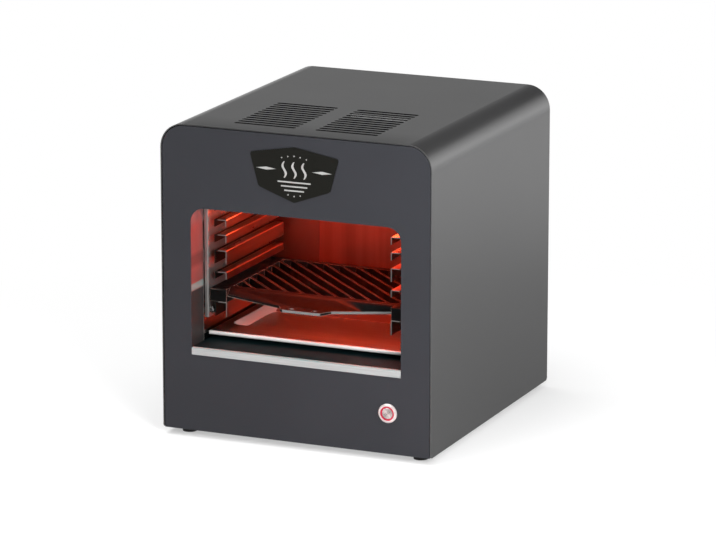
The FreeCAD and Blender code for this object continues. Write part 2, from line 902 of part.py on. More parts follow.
def terminal_studs():
    low = ceiling_top - ribbon_proud + ribbon_height
    high = hood_top + bush_rise + stud_rise
    return Part.makeCompound([cylinder_z(stud_radius, x, y, low, high) for x, y in stud_places()])


def terminal_bushes():
    """Ceramic bushes that carry the studs through mat and hood."""
    top = hood_top + bush_rise
    bushes = []
    for x, y in stud_places():
        bush = cylinder_z(bush_radius, x, y, board_top, top)
        bore = cylinder_z(stud_radius + stud_play, x, y, board_top - cut_over, top + cut_over)
        bushes.append(bush.cut(bore))
    return Part.makeCompound(bushes)


def bush_bores(low, high):
    return Part.makeCompound([cylinder_z(bush_radius + bush_play, x, y, low - cut_over, high + cut_over)
                              for x, y in stud_places()])


def insulation_mat():
    half = heater_width / 2
    mat = box(-half, half, heater_front, heater_rear, board_top, mat_top)
    return mat.cut(bush_bores(board_top, mat_top))


def heater_hood():
    """Folded hood over board and mat, with a flange that lies on the ceiling sheet."""
    half = heater_width / 2 + hood_gap
    front = heater_front - hood_gap
    rear = heater_rear + hood_gap
    shell = box(-half, half, front, rear, ceiling_top, hood_top)
    shell = shell.cut(box(-half + hood_sheet, half - hood_sheet, front + hood_sheet, rear - hood_sheet,
                          ceiling_top - cut_over, mat_top))
    flange = box(-half - hood_flange, half + hood_flange, front - hood_flange, rear + hood_flange,
                 ceiling_top, ceiling_top + hood_sheet)
    flange = flange.cut(box(-half + hood_sheet, half - hood_sheet, front + hood_sheet,
                            rear - hood_sheet, ceiling_top - cut_over, ceiling_top + hood_sheet + cut_over))
    return join([shell, flange]).cut(bush_bores(mat_top, hood_top))


def thermal_cutout():
    """Disc thermostat with two blade tabs, clamped on the hood."""
    top = hood_top + cutout_height
    body = cylinder_z(cutout_radius, 0, heater_y, hood_top, top)
    tab = box((cutout_tab_spacing - cutout_tab_width) / 2, (cutout_tab_spacing + cutout_tab_width) / 2,
              heater_y - cutout_tab_sheet / 2, heater_y + cutout_tab_sheet / 2, top, top + cutout_tab_rise)
    return join([body] + both_sides(tab))


def heat_shield():
    """Bridge of thin sheet between the hood and the vented cover."""
    leg = cavity_half + liner_sheet + shield_side_gap
    points = [(leg, wall_top), (leg, shield_top), (-leg, shield_top), (-leg, wall_top)]
    start = panel_back + shield_front_inset
    return bent_sheet(points, shield_sheet, in_xz(start),
                      Vector(0, cavity_rear - shield_rear_inset - start, 0), liner_bend)


def cavity_supports():
    """Folded posts from the base plate to the underside of the cavity's floor."""
    x = cavity_half - support_inset
    high = floor_top - liner_sheet
    section = [(x - support_flange, base_top), (x, base_top), (x, high), (x - support_flange, high)]
    rear = cavity_rear - support_rear_inset
    post = bent_sheet(section, support_sheet, in_xz(rear - support_width), Vector(0, support_width, 0))
    return Part.makeCompound(both_sides(post))


def rear_bulkhead():
    """Upright heat shield between the cavity and the electrical parts."""
    half = panel_half - panel_sheet - bulkhead_side_gap
    section = [(bulkhead_y, wall_top), (bulkhead_y, base_top), (bulkhead_y + bulkhead_foot, base_top)]
    sheet = bent_sheet(section, bulkhead_sheet, in_yz(-half), Vector(2 * half, 0, 0), bulkhead_bend)
    x = inlet_x - bulkhead_notch_width / 2
    notch = box(x, x + bulkhead_notch_width, bulkhead_y - cut_over, bulkhead_y + bulkhead_foot + cut_over,
                base_top - cut_over, base_top + bulkhead_notch_height)
    return sheet.cut(notch)


def board_face():
    return bulkhead_y + bulkhead_sheet + board_offset


def control_board():
    low = case_low + board_low
    half = board_width / 2
    return box(-half, half, board_face(), board_face() + board_sheet, low, low + board_height)


def standoff_places():
    low = case_low + board_low
    half = board_width / 2 - standoff_inset
    return [(side * half, z) for side in (-1, 1)
            for z in (low + standoff_inset, low + board_height - standoff_inset)]


def board_standoffs():
    face = bulkhead_y + bulkhead_sheet
    posts = [hexagon_prism(standoff_flats, Vector(x, face, z), Vector(0, 1, 0), board_offset)
             for x, z in standoff_places()]
    return Part.makeCompound(posts)


def on_board(size, x, low):
    """Block of a given (width, depth, height) standing on the board's rear side."""
    y = board_face() + board_sheet
    z = case_low + board_low + low
    return box(x - size[0] / 2, x + size[0] / 2, y, y + size[1], z, z + size[2])


def power_relay():
    x = (board_width - relay_size[0]) / 2 - relay_inset
    return on_board(relay_size, x, relay_low)


def board_transformer():
    """Small transformer: laminated core with a moulded coil around its waist."""
    x = core_inset - (board_width - core_size[0]) / 2
    coil_low = core_low + (core_size[2] - coil_size[2]) / 2
    return join([on_board(core_size, x, core_low), on_board(coil_size, x, coil_low)])


def terminal_block():
    """Three-pole block with open screw chambers on top."""
    width, depth, height = block_size
    x = inlet_x
    rear = rear_panel_in - block_rear_gap
    block = box(x - width / 2, x + width / 2, rear - depth, rear, base_top, base_top + height)
    pitch = width / 3
    chambers = []
    for pole in (-1, 0, 1):
        middle = x + pole * pitch
        chambers.append(box(middle - block_slot_width / 2, middle + block_slot_width / 2,
                            rear - depth - cut_over, rear + cut_over,
                            base_top + height - block_slot_depth, base_top + height + cut_over))
    return block.cut(Part.makeCompound(chambers))


def badge_plate():
    """Six-sided shield with rounded corners, flat on the panel over the window."""
    low = window_top + badge_gap
    low_corner = low + badge_point
    top_corner = low_corner + badge_side_height
    high = top_corner + badge_crown
    corners = [(0.0, low, badge_corner), (badge_low_width / 2, low_corner, badge_corner),
               (badge_top_width / 2, top_corner, badge_top_corner), (0.0, high, badge_corner),
               (-badge_top_width / 2, top_corner, badge_top_corner),
               (-badge_low_width / 2, low_corner, badge_corner)]
    return prism(corners, in_xz(front_y - badge_sheet), Vector(0, badge_sheet, 0))


def button_bezel():
    """Turned metal housing: domed rim, barrel through the panel."""
    face = front_y - bezel_proud
    rear = panel_back + barrel_length
    profile = [(barrel_bore, face, 0.0), (bezel_radius - bezel_edge, face, 0.0),
               (bezel_radius, face + bezel_edge, 0.0), (bezel_radius, front_y, 0.0),
               (barrel_radius, front_y, 0.0), (barrel_radius, rear, 0.0), (barrel_bore, rear, 0.0)]
    return turned_y(profile, button_x, button_z)


def button_ring():
    """Translucent light ring between the bezel and the cap."""
    face = front_y - bezel_proud + ring_sunk
    profile = [(ring_bore, face, 0.0), (ring_radius, face, 0.0), (ring_radius, face + ring_depth, 0.0),
               (ring_bore, face + ring_depth, 0.0)]
    return turned_y(profile, button_x, button_z)


def module_front():
    return front_y - bezel_proud + ring_sunk + ring_depth + module_seat


def button_cap():
    """Dished cap with a guiding skirt and a stem that works the contacts."""
    face = front_y - cap_proud
    radius = ring_bore - cap_play
    floor = front_y - bezel_proud + ring_sunk + ring_depth + cap_collar_play + cap_collar_depth
    stem_end = module_front() + module_bore_depth - cap_travel - stem_end_gap
    collar = floor - cap_collar_depth
    profile = [(0.0, face + cap_dish, 0.0), (cap_dish_radius, face, 0.0), (radius - cap_edge, face, 0.0),
               (radius, face + cap_edge, 0.0), (radius, collar, 0.0), (ring_bore + cap_collar, collar, 0.0),
               (ring_bore + cap_collar, floor, 0.0), (stem_radius, floor, 0.0), (stem_radius, stem_end, 0.0),
               (0.0, stem_end, 0.0)]
    return turned_y(profile, button_x, button_z)


def button_module():
    """Sealed contact module pressed against the ring, with a guide bore for the stem."""
    low = front_y - bezel_proud + ring_sunk + ring_depth
    seat = module_front()
    rear = seat + module_length
    bore = stem_radius + stem_play
    wall = ring_bore + cap_collar + cap_collar_play
    profile = [(bore, seat, 0.0), (wall, seat, 0.0), (wall, low, 0.0), (ring_radius, low, 0.0),
               (ring_radius, rear, 0.0), (0.0, rear, 0.0), (0.0, seat + module_bore_depth, 0.0),
               (bore, seat + module_bore_depth, 0.0)]
    return turned_y(profile, button_x, button_z)


def button_nut():
    nut = hexagon_prism(button_nut_flats, Vector(button_x, panel_back, button_z), Vector(0, 1, 0),
                        button_nut_height)
    return nut.cut(cylinder_y(barrel_radius + barrel_play, button_x, button_z, panel_back - cut_over,
                              panel_back + button_nut_height + cut_over))


def button_blades():
    """Flat contact blades at the rear of the module."""
    start = module_front() + module_length
    blades = []
    for side in (-1, 1):
        for step in (-1, 1):
            x = button_x + side * blade_spacing / 2
            z = button_z + step * blade_spacing / 2
            blades.append(box(x - blade_width / 2, x + blade_width / 2, start, start + blade_length,
                              z - blade_sheet / 2, z + blade_sheet / 2))
    return Part.makeCompound(blades)


def cord_inlet():
    """Flanged strain-relief bush in the back panel, bored for the supply cord."""
    out = rear_y + inlet_proud
    inner = rear_panel_in - inlet_depth
    profile = [(inlet_bore, inner, 0.0), (inlet_radius, inner, 0.0), (inlet_radius, rear_panel_out, 0.0),
               (inlet_flange_radius, rear_panel_out, 0.0), (inlet_flange_radius, out - inlet_edge, 0.0),
               (inlet_flange_radius - inlet_edge, out, 0.0),
               (inlet_bore, out, 0.0)]
    return turned_y(profile, inlet_x, inlet_z)


def inlet_nut():
    low = rear_panel_in - inlet_nut_height
    nut = hexagon_prism(inlet_nut_flats, Vector(inlet_x, low, inlet_z), Vector(0, 1, 0), inlet_nut_height)
    return nut.cut(cylinder_y(inlet_radius + inlet_play, inlet_x, inlet_z, low - cut_over,
                              rear_panel_in + cut_over))


def build():
    wall = cavity_wall()
    plate = rack_plate()
    runners = rack_runners()
    return {
        "outer_cover": outer_cover(),
        "front_panel": front_panel(),
        "back_panel": back_panel(),
        "base_plate": base_plate(),
        "rubber_feet": rubber_feet(),
        "badge_plate": badge_plate(),
        "sill_trim": sill_trim(),
        "cavity_floor": cavity_floor(),
        "cavity_wall_left": mirrored_x(wall),
        "cavity_wall_right": wall,
        "cavity_back": cavity_back(),
        "cavity_ceiling": cavity_ceiling(),
        "rack_plate_left": mirrored_x(plate),
        "rack_plate_right": plate,
        "rack_runners_left": Part.makeCompound([mirrored_x(runner) for runner in runners]),
        "rack_runners_right": Part.makeCompound(runners),
        "rack_spacers": rack_spacers(),
        "rack_cap_nuts": rack_cap_nuts(),
        "grill_grate": grill_grate(),
        "drip_pan": drip_pan(),
        "heating_ribbon": heating_ribbon(),
        "ceramic_board": ceramic_board(),
        "insulation_mat": insulation_mat(),
        "heater_hood": heater_hood(),
        "terminal_studs": terminal_studs(),
        "terminal_bushes": terminal_bushes(),
        "thermal_cutout": thermal_cutout(),
        "heat_shield": heat_shield(),
        "cavity_supports": cavity_supports(),
        "rear_bulkhead": rear_bulkhead(),
        "control_board": control_board(),
        "board_standoffs": board_standoffs(),
        "power_relay": power_relay(),
        "board_transformer": board_transformer(),
        "terminal_block": terminal_block(),
        "button_bezel": button_bezel(),
        "button_ring": button_ring(),
        "button_cap": button_cap(),
        "button_module": button_module(),
        "button_nut": button_nut(),
        "button_blades": button_blades(),
        "cord_inlet": cord_inlet(),
        "inlet_nut": inlet_nut(),
    }


def main():
    os.makedirs("parts", exist_ok=True)
    for name, shape in build().items():
        if not shape.isValid():
            print("not valid:", name)
        print(name, len(shape.Solids), "solid(s)", round(shape.Volume, 1))
        shape.exportStep(os.path.join("parts", name + ".step"))


main()
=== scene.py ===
"""Looks of a counter-top electric grill.

A powder-coated case with an open window, a stainless cavity that glows from the heater
above it, side racks, a cast grate, a drip pan and a lit push button. Sizes of new pieces
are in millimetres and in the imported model's own frame.
"""

import json
import logging
import math
from dataclasses import dataclass, field
from enum import Enum
from functools import cache
from typing import Any, Callable

import bmesh
import bpy
from mathutils import Matrix, Vector

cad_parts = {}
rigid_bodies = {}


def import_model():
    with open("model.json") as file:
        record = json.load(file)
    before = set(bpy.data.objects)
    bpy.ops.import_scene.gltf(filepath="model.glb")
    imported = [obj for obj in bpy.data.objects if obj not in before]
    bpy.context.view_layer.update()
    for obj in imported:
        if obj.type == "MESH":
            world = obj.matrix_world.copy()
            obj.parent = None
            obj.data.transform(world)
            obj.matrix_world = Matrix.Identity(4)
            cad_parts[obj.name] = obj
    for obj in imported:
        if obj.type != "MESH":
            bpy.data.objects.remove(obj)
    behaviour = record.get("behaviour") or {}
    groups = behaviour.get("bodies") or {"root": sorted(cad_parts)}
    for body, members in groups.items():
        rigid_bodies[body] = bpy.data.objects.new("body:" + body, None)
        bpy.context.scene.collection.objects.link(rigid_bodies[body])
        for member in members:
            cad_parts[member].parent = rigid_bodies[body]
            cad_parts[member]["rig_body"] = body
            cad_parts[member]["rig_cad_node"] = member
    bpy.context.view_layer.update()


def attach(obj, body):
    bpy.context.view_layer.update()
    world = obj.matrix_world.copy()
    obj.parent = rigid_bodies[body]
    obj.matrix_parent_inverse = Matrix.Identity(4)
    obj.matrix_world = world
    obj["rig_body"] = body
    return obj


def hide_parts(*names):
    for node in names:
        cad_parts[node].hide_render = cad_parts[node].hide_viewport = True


MM = 0.001
# Nearly all of a noise lies between these values.
NOISE_LOW, NOISE_HIGH = 0.3, 0.7
# A face looks a given way when its normal has at least this share of it.
LOOKING_SHARE = 0.8
WHITE = (1.0, 1.0, 1.0, 1.0)
BLACK = (0.0, 0.0, 0.0, 1.0)
LOG = logging.getLogger("grill")
Colour = tuple[float, float, float]
Point = tuple[float, float, float]
Spot = tuple[float, float]
Ramp = tuple[float, float, float, float]
Piece = bpy.types.Object
Node = bpy.types.Node
Output = bpy.types.NodeSocket
Tree = bpy.types.NodeTree


class Body(Enum):
    """The bodies that new pieces ride on."""

    CASE = "case"
    GRATE = "grate"


class Way(Enum):
    """Direction that a grain runs in or that a face or a fastener's head looks to."""

    X = (1.0, 0.0, 0.0)
    FRONT = (0.0, -1.0, 0.0)
    BACK = (0.0, 1.0, 0.0)
    UP = (0.0, 0.0, 1.0)
    DOWN = (0.0, 0.0, -1.0)
    LEFT = (-1.0, 0.0, 0.0)


class Socket(Enum):
    """Kinds of sockets that a shader group has."""

    VALUE = "NodeSocketFloat"
    COLOUR = "NodeSocketColor"
    VECTOR = "NodeSocketVector"


# Shared steps of modelling


def clear() -> None:
    """Leaves nothing selected."""
    bpy.ops.object.select_all(action="DESELECT")


def pick(*objects: Piece) -> None:
    """Selects objects and nothing else; the first one becomes the active one.

    Args:
        objects: What to select.
    """
    clear()
    for each in objects:
        each.select_set(True)
    bpy.context.view_layer.objects.active = objects[0]


def added(name: str) -> Piece:
    """Names the primitive that was just added.

    Args:
        name: Name of the object and its mesh.

    Returns:
        The new object.
    """
    made = bpy.context.view_layer.objects.active
    made.name = name
    made.data.name = name
    return made


def cylinder(name: str, radius: float, height: float, sides: int) -> Piece:
    """Adds a cylinder or a prism that stands on the origin.

    Args:
        name: Its name.
        radius: Radius of its corners in millimetres.
        height: Its height in millimetres.
        sides: How many sides it has.

    Returns:
        The new object.
    """
    clear()
    bpy.ops.mesh.primitive_cylinder_add(vertices=sides, radius=radius * MM, depth=height * MM,
                                        location=(0, 0, height / 2 * MM))
    return added(name)


def choose_edges(piece: Piece, test: Callable[[Vector], bool]) -> None:
    """Selects the edges of a mesh in edit mode that pass a test, and nothing else.

    Args:
        piece: Object in edit mode.
        test: Takes the middle of an edge in millimetres.
    """
    bpy.ops.mesh.select_mode(type="EDGE")
    bpy.ops.mesh.select_all(action="DESELECT")
    mesh = bmesh.from_edit_mesh(piece.data)
    for edge in mesh.edges:
        if test((edge.verts[0].co + edge.verts[1].co) / 2 / MM):
            edge.select_set(True)
    mesh.select_flush_mode()
    bmesh.update_edit_mesh(piece.data)


def settle(piece: Piece, angle: float = 35.0, reach: float = 0.01) -> Piece:
    """Puts a piece's place into its mesh, turns its faces outwards and shades it.

    Args:
        piece: A closed mesh.
        angle: Edges sharper than this, in degrees, stay sharp.
        reach: Points closer than this, in millimetres, become one.

    Returns:
        The same piece.
    """
    pick(piece)
    bpy.ops.object.transform_apply(location=True, rotation=True, scale=True)
    bpy.ops.object.mode_set(mode="EDIT")
    bpy.ops.mesh.select_all(action="SELECT")
    bpy.ops.mesh.remove_doubles(threshold=reach * MM)
    bpy.ops.mesh.normals_make_consistent(inside=False)
    bpy.ops.object.mode_set(mode="OBJECT")
    bpy.ops.object.shade_smooth_by_angle(angle=math.radians(angle))
    clear()
    return piece


def bevelled(piece: Piece, width: float, angle: float = 30.0) -> None:
    """Rounds the sharp edges of a piece with an applied modifier.

    Args:
        piece: Mesh object.
        width: Width of the rounding in millimetres.
        angle: Only edges sharper than this, in degrees, are rounded.
    """
    pick(piece)
    step = piece.modifiers.new("rounding", "BEVEL")
    step.width = width * MM
    step.segments = 2
    step.limit_method = "ANGLE"
    step.angle_limit = math.radians(angle)
    bpy.ops.object.modifier_apply(modifier=step.name)
    clear()


def cut_away(piece: Piece, tool: Piece) -> None:
    """Cuts one mesh out of another and removes the tool.

    Args:
        piece: What is cut.
        tool: What is taken away.
    """
    pick(piece)
    step = piece.modifiers.new("cut", "BOOLEAN")
    step.operation = "DIFFERENCE"
    step.solver = "EXACT"
    step.object = tool
    bpy.ops.object.modifier_apply(modifier=step.name)
    bpy.data.objects.remove(tool, do_unlink=True)


def copies(model: Piece, name: str, places: list[Matrix]) -> Piece:
    """Sets a copy of a model at each place and joins them; the model is removed.

    Args:
        model: Piece around its own origin.
        name: Name of the joined piece.
        places: Where each copy goes.

    Returns:
        One object that holds all copies.
    """
    made = []
    for place in places:
        copy = model.copy()
        copy.data = model.data.copy()
        copy.data.transform(place)
        bpy.context.scene.collection.objects.link(copy)
        made.append(copy)
    bpy.data.objects.remove(model, do_unlink=True)
    pick(*made)
    bpy.ops.object.join()
    joined = added(name)
    clear()
    return joined


def facing(point: Point, way: Way) -> Matrix:
    """Place at a point in millimetres whose +Z looks in a given direction."""
    turn = Vector(Way.UP.value).rotation_difference(Vector(way.value))
    return Matrix.Translation(Vector(point) * MM) @ turn.to_matrix().to_4x4()


def dress(node: str, finish: "Finish") -> None:
    """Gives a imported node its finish.

    Args:
        node: Name of the node.
        finish: Its finish.
    """
    target = bpy.data.objects[node]
    made = finish.material()
    if not target.material_slots:
        target.data.materials.append(made)
    for place in target.material_slots:
        place.material = made
    LOG.info("dressed %s in %s", node, made.name)


def hand_over(piece: Piece, body: Body, finish: "Finish") -> None:
    """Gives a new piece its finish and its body.

    Args:
        piece: Finished mesh.
        body: What it moves with.
        finish: Its finish.
    """
    piece.data.materials.clear()
    piece.data.materials.append(finish.material())
    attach(piece, body.value)
    LOG.info("made %s: %d faces on %s", piece.name, len(piece.data.polygons), body.value)


# Shader graphs and the groups that several finishes share


class Graph:
    """A node tree with short ways to add and join nodes."""

    def __init__(self, tree: Tree) -> None:
        """Takes the tree to fill."""
        self.tree = tree

    def feed(self, node: Node, values: dict[Any, Any]) -> None:
        """Sets or joins inputs of a node.

        Args:
            node: The node.
            values: Input name or number and its value, or the output that feeds it.
        """
        for name, value in values.items():
            if isinstance(value, Output):
                self.tree.links.new(value, node.inputs[name])
            else:
                node.inputs[name].default_value = value

    def add(self, kind: str, values: dict[Any, Any] | None = None, **settings: Any) -> Node:
        """Adds a node.

        Args:
            kind: Blender's name of the node without its prefix.
            values: Input name or number and its value, or the output that feeds it.
            settings: Properties of the node.

        Returns:
            The node.
        """
        node = self.tree.nodes.new("ShaderNode" + kind)
        for name, value in settings.items():
            setattr(node, name, value)
        self.feed(node, values or {})
        return node

    def group(self, tree: Tree, values: dict[str, Any]) -> Any:
        """Outputs of a shared group that is placed with these inputs."""
        return self.add("Group", values, node_tree=tree).outputs

    def maths(self, operation: str, first: Any, second: Any = 0.0) -> Output:
        """Output of a new Math node with one or two values or outputs."""
        return self.add("Math", {0: first, 1: second}, operation=operation).outputs[0]

    def times(self, first: Any, second: Any) -> Output:
        """Product of two values or outputs."""
        return self.maths("MULTIPLY", first, second)

    def plus(self, first: Any, second: Any) -> Output:
        """Sum of two values or outputs."""
        return self.maths("ADD", first, second)

    def most(self, first: Any, second: Any) -> Output:
        """Greater one of two values or outputs."""
        return self.maths("MAXIMUM", first, second)

    def spread(self, value: Any, low: float, high: float, to_low: Any, to_high: Any) -> Output:
        """Output that is mapped from a range, low to high, to another one and kept within it."""
        return self.add("MapRange", {0: value, 1: low, 2: high, 3: to_low, 4: to_high}).outputs[0]

    def from_noise(self, noise: Any, to_low: float = 0.0, to_high: float = 1.0) -> Output:
        """Noise that is mapped from its own range to another one."""
        return self.spread(noise, NOISE_LOW, NOISE_HIGH, to_low, to_high)

    def noise(self, place: Any, scale: Any, detail: float, distortion: float = 0.0) -> Output:
        """Value of a noise over some coordinates; detail is how many finer layers it has."""
        values = {"Vector": place, "Scale": scale, "Detail": detail, "Distortion": distortion}
        return self.add("TexNoise", values).outputs[0]

    def blend(self, share: Any, first: Any, second: Any) -> Output:
        """Two colours mixed, with a share of the second."""
        return self.add("Mix", {0: share, 6: first, 7: second}, data_type="RGBA").outputs[2]

    def vectors(self, operation: str, values: dict[Any, Any]) -> Any:
        """Outputs of a new Vector Math node with these inputs."""
        return self.add("VectorMath", values, operation=operation).outputs

    def spots(self) -> Output:
        """Object coordinates."""
        return self.add("TexCoord").outputs["Object"]

    def along(self, axis: str) -> Output:
        """Object coordinate along one axis."""
        return self.add("SeparateXYZ", {0: self.spots()}).outputs[axis]


class MaterialGraph(Graph):
    """Graph of a material, which ends in one Principled shader."""

    def __init__(self, material: bpy.types.Material) -> None:
        """Empties the material and gives it its shader.

        Args:
            material: The material to wire.
        """
        material.use_nodes = True
        super().__init__(material.node_tree)
        self.tree.nodes.clear()
        self.shader = self.add("BsdfPrincipled")
        self.add("OutputMaterial", {"Surface": self.shader.outputs[0]})

    def wire(self, values: dict[str, Any]) -> None:
        """Feeds the shader with these values or outputs."""
        self.feed(self.shader, values)

    def bump(self, height: Any, strength: float, depth: float) -> None:
        """Feeds a height to the shader's normal, with its depth in millimetres."""
        node = self.add("Bump", {"Height": height, "Strength": strength, "Distance": depth * MM})
        self.wire({"Normal": node.outputs[0]})


class Effects:
    """Shader groups that several finishes share, each built once."""

    @staticmethod
    def start(name: str, inputs: dict[str, Any], outputs: dict[str, Socket]) -> tuple[Graph, Any, Any]:
        """Starts a group with named inputs and outputs.

        Args:
            name: Name of the group.
            inputs: Input names with their default values.
            outputs: Output names with their kinds.

        Returns:
            The graph, what comes in and the output node.
        """
        tree = bpy.data.node_groups.new(name, "ShaderNodeTree")
        for label, value in inputs.items():
            kind = Socket.VALUE
            if isinstance(value, tuple):
                kind = Socket.COLOUR if len(value) == 4 else Socket.VECTOR
            made = tree.interface.new_socket(name=label, in_out="INPUT", socket_type=kind.value)
            made.default_value = value
        for label, kind in outputs.items():
            tree.interface.new_socket(name=label, in_out="OUTPUT", socket_type=kind.value)
        given = tree.nodes.new("NodeGroupInput").outputs
        return Graph(tree), given, tree.nodes.new("NodeGroupOutput")

    @staticmethod
    @cache
    def mottle() -> Tree:
        """Colour that drifts lighter and darker in soft clouds with a fine grain in it.

        Returns:
            The group.
        """
        values = {"Colour": (0.5, 0.5, 0.5, 1.0), "Cloud Scale": 8.0, "Cloud": 0.05,
                  "Grain Scale": 900.0, "Grain": 0.05}
        graph, given, out = Effects.start("mottle", values, {"Colour": Socket.COLOUR, "Value": Socket.VALUE})
        place = graph.spots()
        cloud = graph.noise(place, given["Cloud Scale"], 3.0)
        grain = graph.noise(place, given["Grain Scale"], 2.0)
        drift = graph.times(graph.from_noise(cloud, -1.0), given["Cloud"])
        speck = graph.times(graph.from_noise(grain, -1.0), given["Grain"])
        factor = graph.plus(graph.plus(drift, speck), 1.0)
        tinted = graph.vectors("SCALE", {0: given["Colour"], "Scale": factor})[0]
        graph.feed(out, {"Colour": tinted, "Value": cloud})
        return graph.tree

    @staticmethod
    @cache
    def peel() -> Tree:
        """Height of a baked coat: shallow waves under a fine sandy grain.

        Returns:
            The group.
        """
        values = {"Wave Scale": 350.0, "Sand Scale": 1800.0, "Sand": 0.5}
        graph, given, out = Effects.start("peel", values, {"Height": Socket.VALUE})
        place = graph.spots()
        wave = graph.noise(place, given["Wave Scale"], 1.0)
        grit = graph.times(graph.noise(place, given["Sand Scale"], 2.0), given["Sand"])
        graph.feed(out, {"Height": graph.plus(wave, grit)})
        return graph.tree

    @staticmethod
    @cache
    def streaks() -> Tree:
        """Fine parallel scratches of brushed or rolled sheet, from 0 to 1.

        Returns:
            The group.
        """
        broader = 0.12
        values = {"Stretch": (1.0, 1.0, 1.0), "Scale": 600.0}
        graph, given, out = Effects.start("streaks", values, {"Streak": Socket.VALUE, "Broad": Socket.VALUE})
        drawn = graph.vectors("MULTIPLY", {0: graph.spots(), 1: given["Stretch"]})[0]
        fine = graph.noise(drawn, given["Scale"], 4.0)
        broad = graph.noise(drawn, graph.times(given["Scale"], broader), 2.0)
        graph.feed(out, {"Streak": graph.from_noise(fine), "Broad": graph.from_noise(broad)})
        return graph.tree

    @staticmethod
    @cache
    def edges() -> Tree:
        """Mask that is 1 on sharp edges and 0 on flat faces.

        Returns:
            The group.
        """
        flat, sharp = 0.99, 0.8
        graph, given, out = Effects.start("edges", {"Radius": 0.0008}, {"Mask": Socket.VALUE})
        soft = graph.add("Bevel", {"Radius": given["Radius"]}, samples=4).outputs[0]
        plain = graph.add("NewGeometry").outputs["Normal"]
        meet = graph.vectors("DOT_PRODUCT", {0: soft, 1: plain})["Value"]
        graph.feed(out, {"Mask": graph.spread(meet, flat, sharp, 0.0, 1.0)})
        return graph.tree

    @staticmethod
    @cache
    def stain() -> Tree:
        """Patchy mask of heat tint and wiped smudges, from 0 to 1.

        Returns:
            The group.
        """
        full = 0.75
        graph, given, out = Effects.start("stain", {"Scale": 12.0, "Start": 0.5}, {"Mask": Socket.VALUE})
        bend = graph.noise(graph.spots(), given["Scale"], 4.0, 0.8)
        graph.feed(out, {"Mask": graph.spread(bend, given["Start"], full, 0.0, 1.0)})
        return graph.tree


# Finishes


@dataclass(frozen=True)
class Zone:
    """A box where a finish changes, as a rule on both sides alike; sizes in millimetres."""

    low: Point
    high: Point
    colour: Colour
    dulling: float = 0.0
    metal: float = 1.0
    fade: float = 1.0
    looking: Way | None = None
    both_sides: bool = True

    def mask(self, graph: Graph) -> Output:
        """Builds the zone's mask.

        Args:
            graph: The material's graph.

        Returns:
            1 in the zone and 0 outside it.
        """
        place = graph.add("SeparateXYZ", {0: graph.spots()}).outputs
        across = graph.maths("ABSOLUTE", place["X"]) if self.both_sides else place["X"]
        share = 1.0
        for value, low, high in zip((across, place["Y"], place["Z"]), self.low, self.high):
            rise = graph.spread(value, (low - self.fade) * MM, low * MM, 0.0, 1.0)
            fall = graph.spread(value, high * MM, (high + self.fade) * MM, 1.0, 0.0)
            share = graph.times(share, graph.times(rise, fall))
        if self.looking is not None:
            normal = graph.add("NewGeometry").outputs["True Normal"]
            meet = graph.vectors("DOT_PRODUCT", {0: normal, 1: self.looking.value})["Value"]
            share = graph.times(share, graph.maths("GREATER_THAN", meet, LOOKING_SHARE))
        return share


@dataclass(frozen=True)
class Finish:
    """Base of all finishes: a name, a base colour in linear light and zones that differ."""

    name: str
    colour: Colour
    zones: tuple[Zone, ...] = ()

    def material(self) -> bpy.types.Material:
        """Builds the material, or finds it again.

        Returns:
            The material.
        """
        found = bpy.data.materials.get(self.name)
        if found is not None:
            return found
        made = bpy.data.materials.new(self.name)
        made.diffuse_color = self.toned()
        self.fill(MaterialGraph(made))
        return made

    def fill(self, graph: MaterialGraph) -> None:
        """Wires the finish into its shader.

        Args:
            graph: The material's graph.
        """
        raise NotImplementedError

    def toned(self, factor: float = 1.0) -> tuple[float, ...]:
        """The colour, lighter or darker by a factor, with full alpha."""
        return tuple(min(1.0, part * factor) for part in self.colour) + (1.0,)

    def lay(self, graph: MaterialGraph, tone: Any, rough: Any, metal: Any = 0.0) -> None:
        """Feeds colour, roughness and metal to the shader, each changed in the zones.

        Args:
            graph: The material's graph.
            tone: Colour outside the zones.
            rough: Roughness outside the zones.
            metal: How metallic it is outside the zones.
        """
        for zone in self.zones:
            share = zone.mask(graph)
            tone = graph.blend(share, tone, (*zone.colour, 1.0))
            rough = graph.plus(rough, graph.times(share, zone.dulling))
            metal = graph.spread(share, 0.0, 1.0, metal, zone.metal)
        graph.wire({"Base Color": tone, "Roughness": rough, "Metallic": metal})


@dataclass(frozen=True)
class Mottled(Finish):
    """Base of the finishes whose colour and roughness drift in soft clouds."""

    roughness: float = 0.5
    drift: float = 0.05
    cloud_scale: float = 8.0
    cloud: float = 0.05
    grain_scale: float = 900.0
    grain: float = 0.05

    def ground(self, graph: Graph, colour: Any = None) -> tuple[Any, Output]:
        """Places the clouds.

        Args:
            graph: The material's graph.
            colour: Output that drifts, or else the finish's own colour does.

        Returns:
            The outputs of the clouds and the roughness that follows them.
        """
        cloud = graph.group(Effects.mottle(), {
            "Colour": self.toned() if colour is None else colour, "Cloud Scale": self.cloud_scale,
            "Cloud": self.cloud, "Grain Scale": self.grain_scale, "Grain": self.grain})
        smooth, rough = self.roughness - self.drift, self.roughness + self.drift
        return cloud, graph.from_noise(cloud["Value"], smooth, rough)


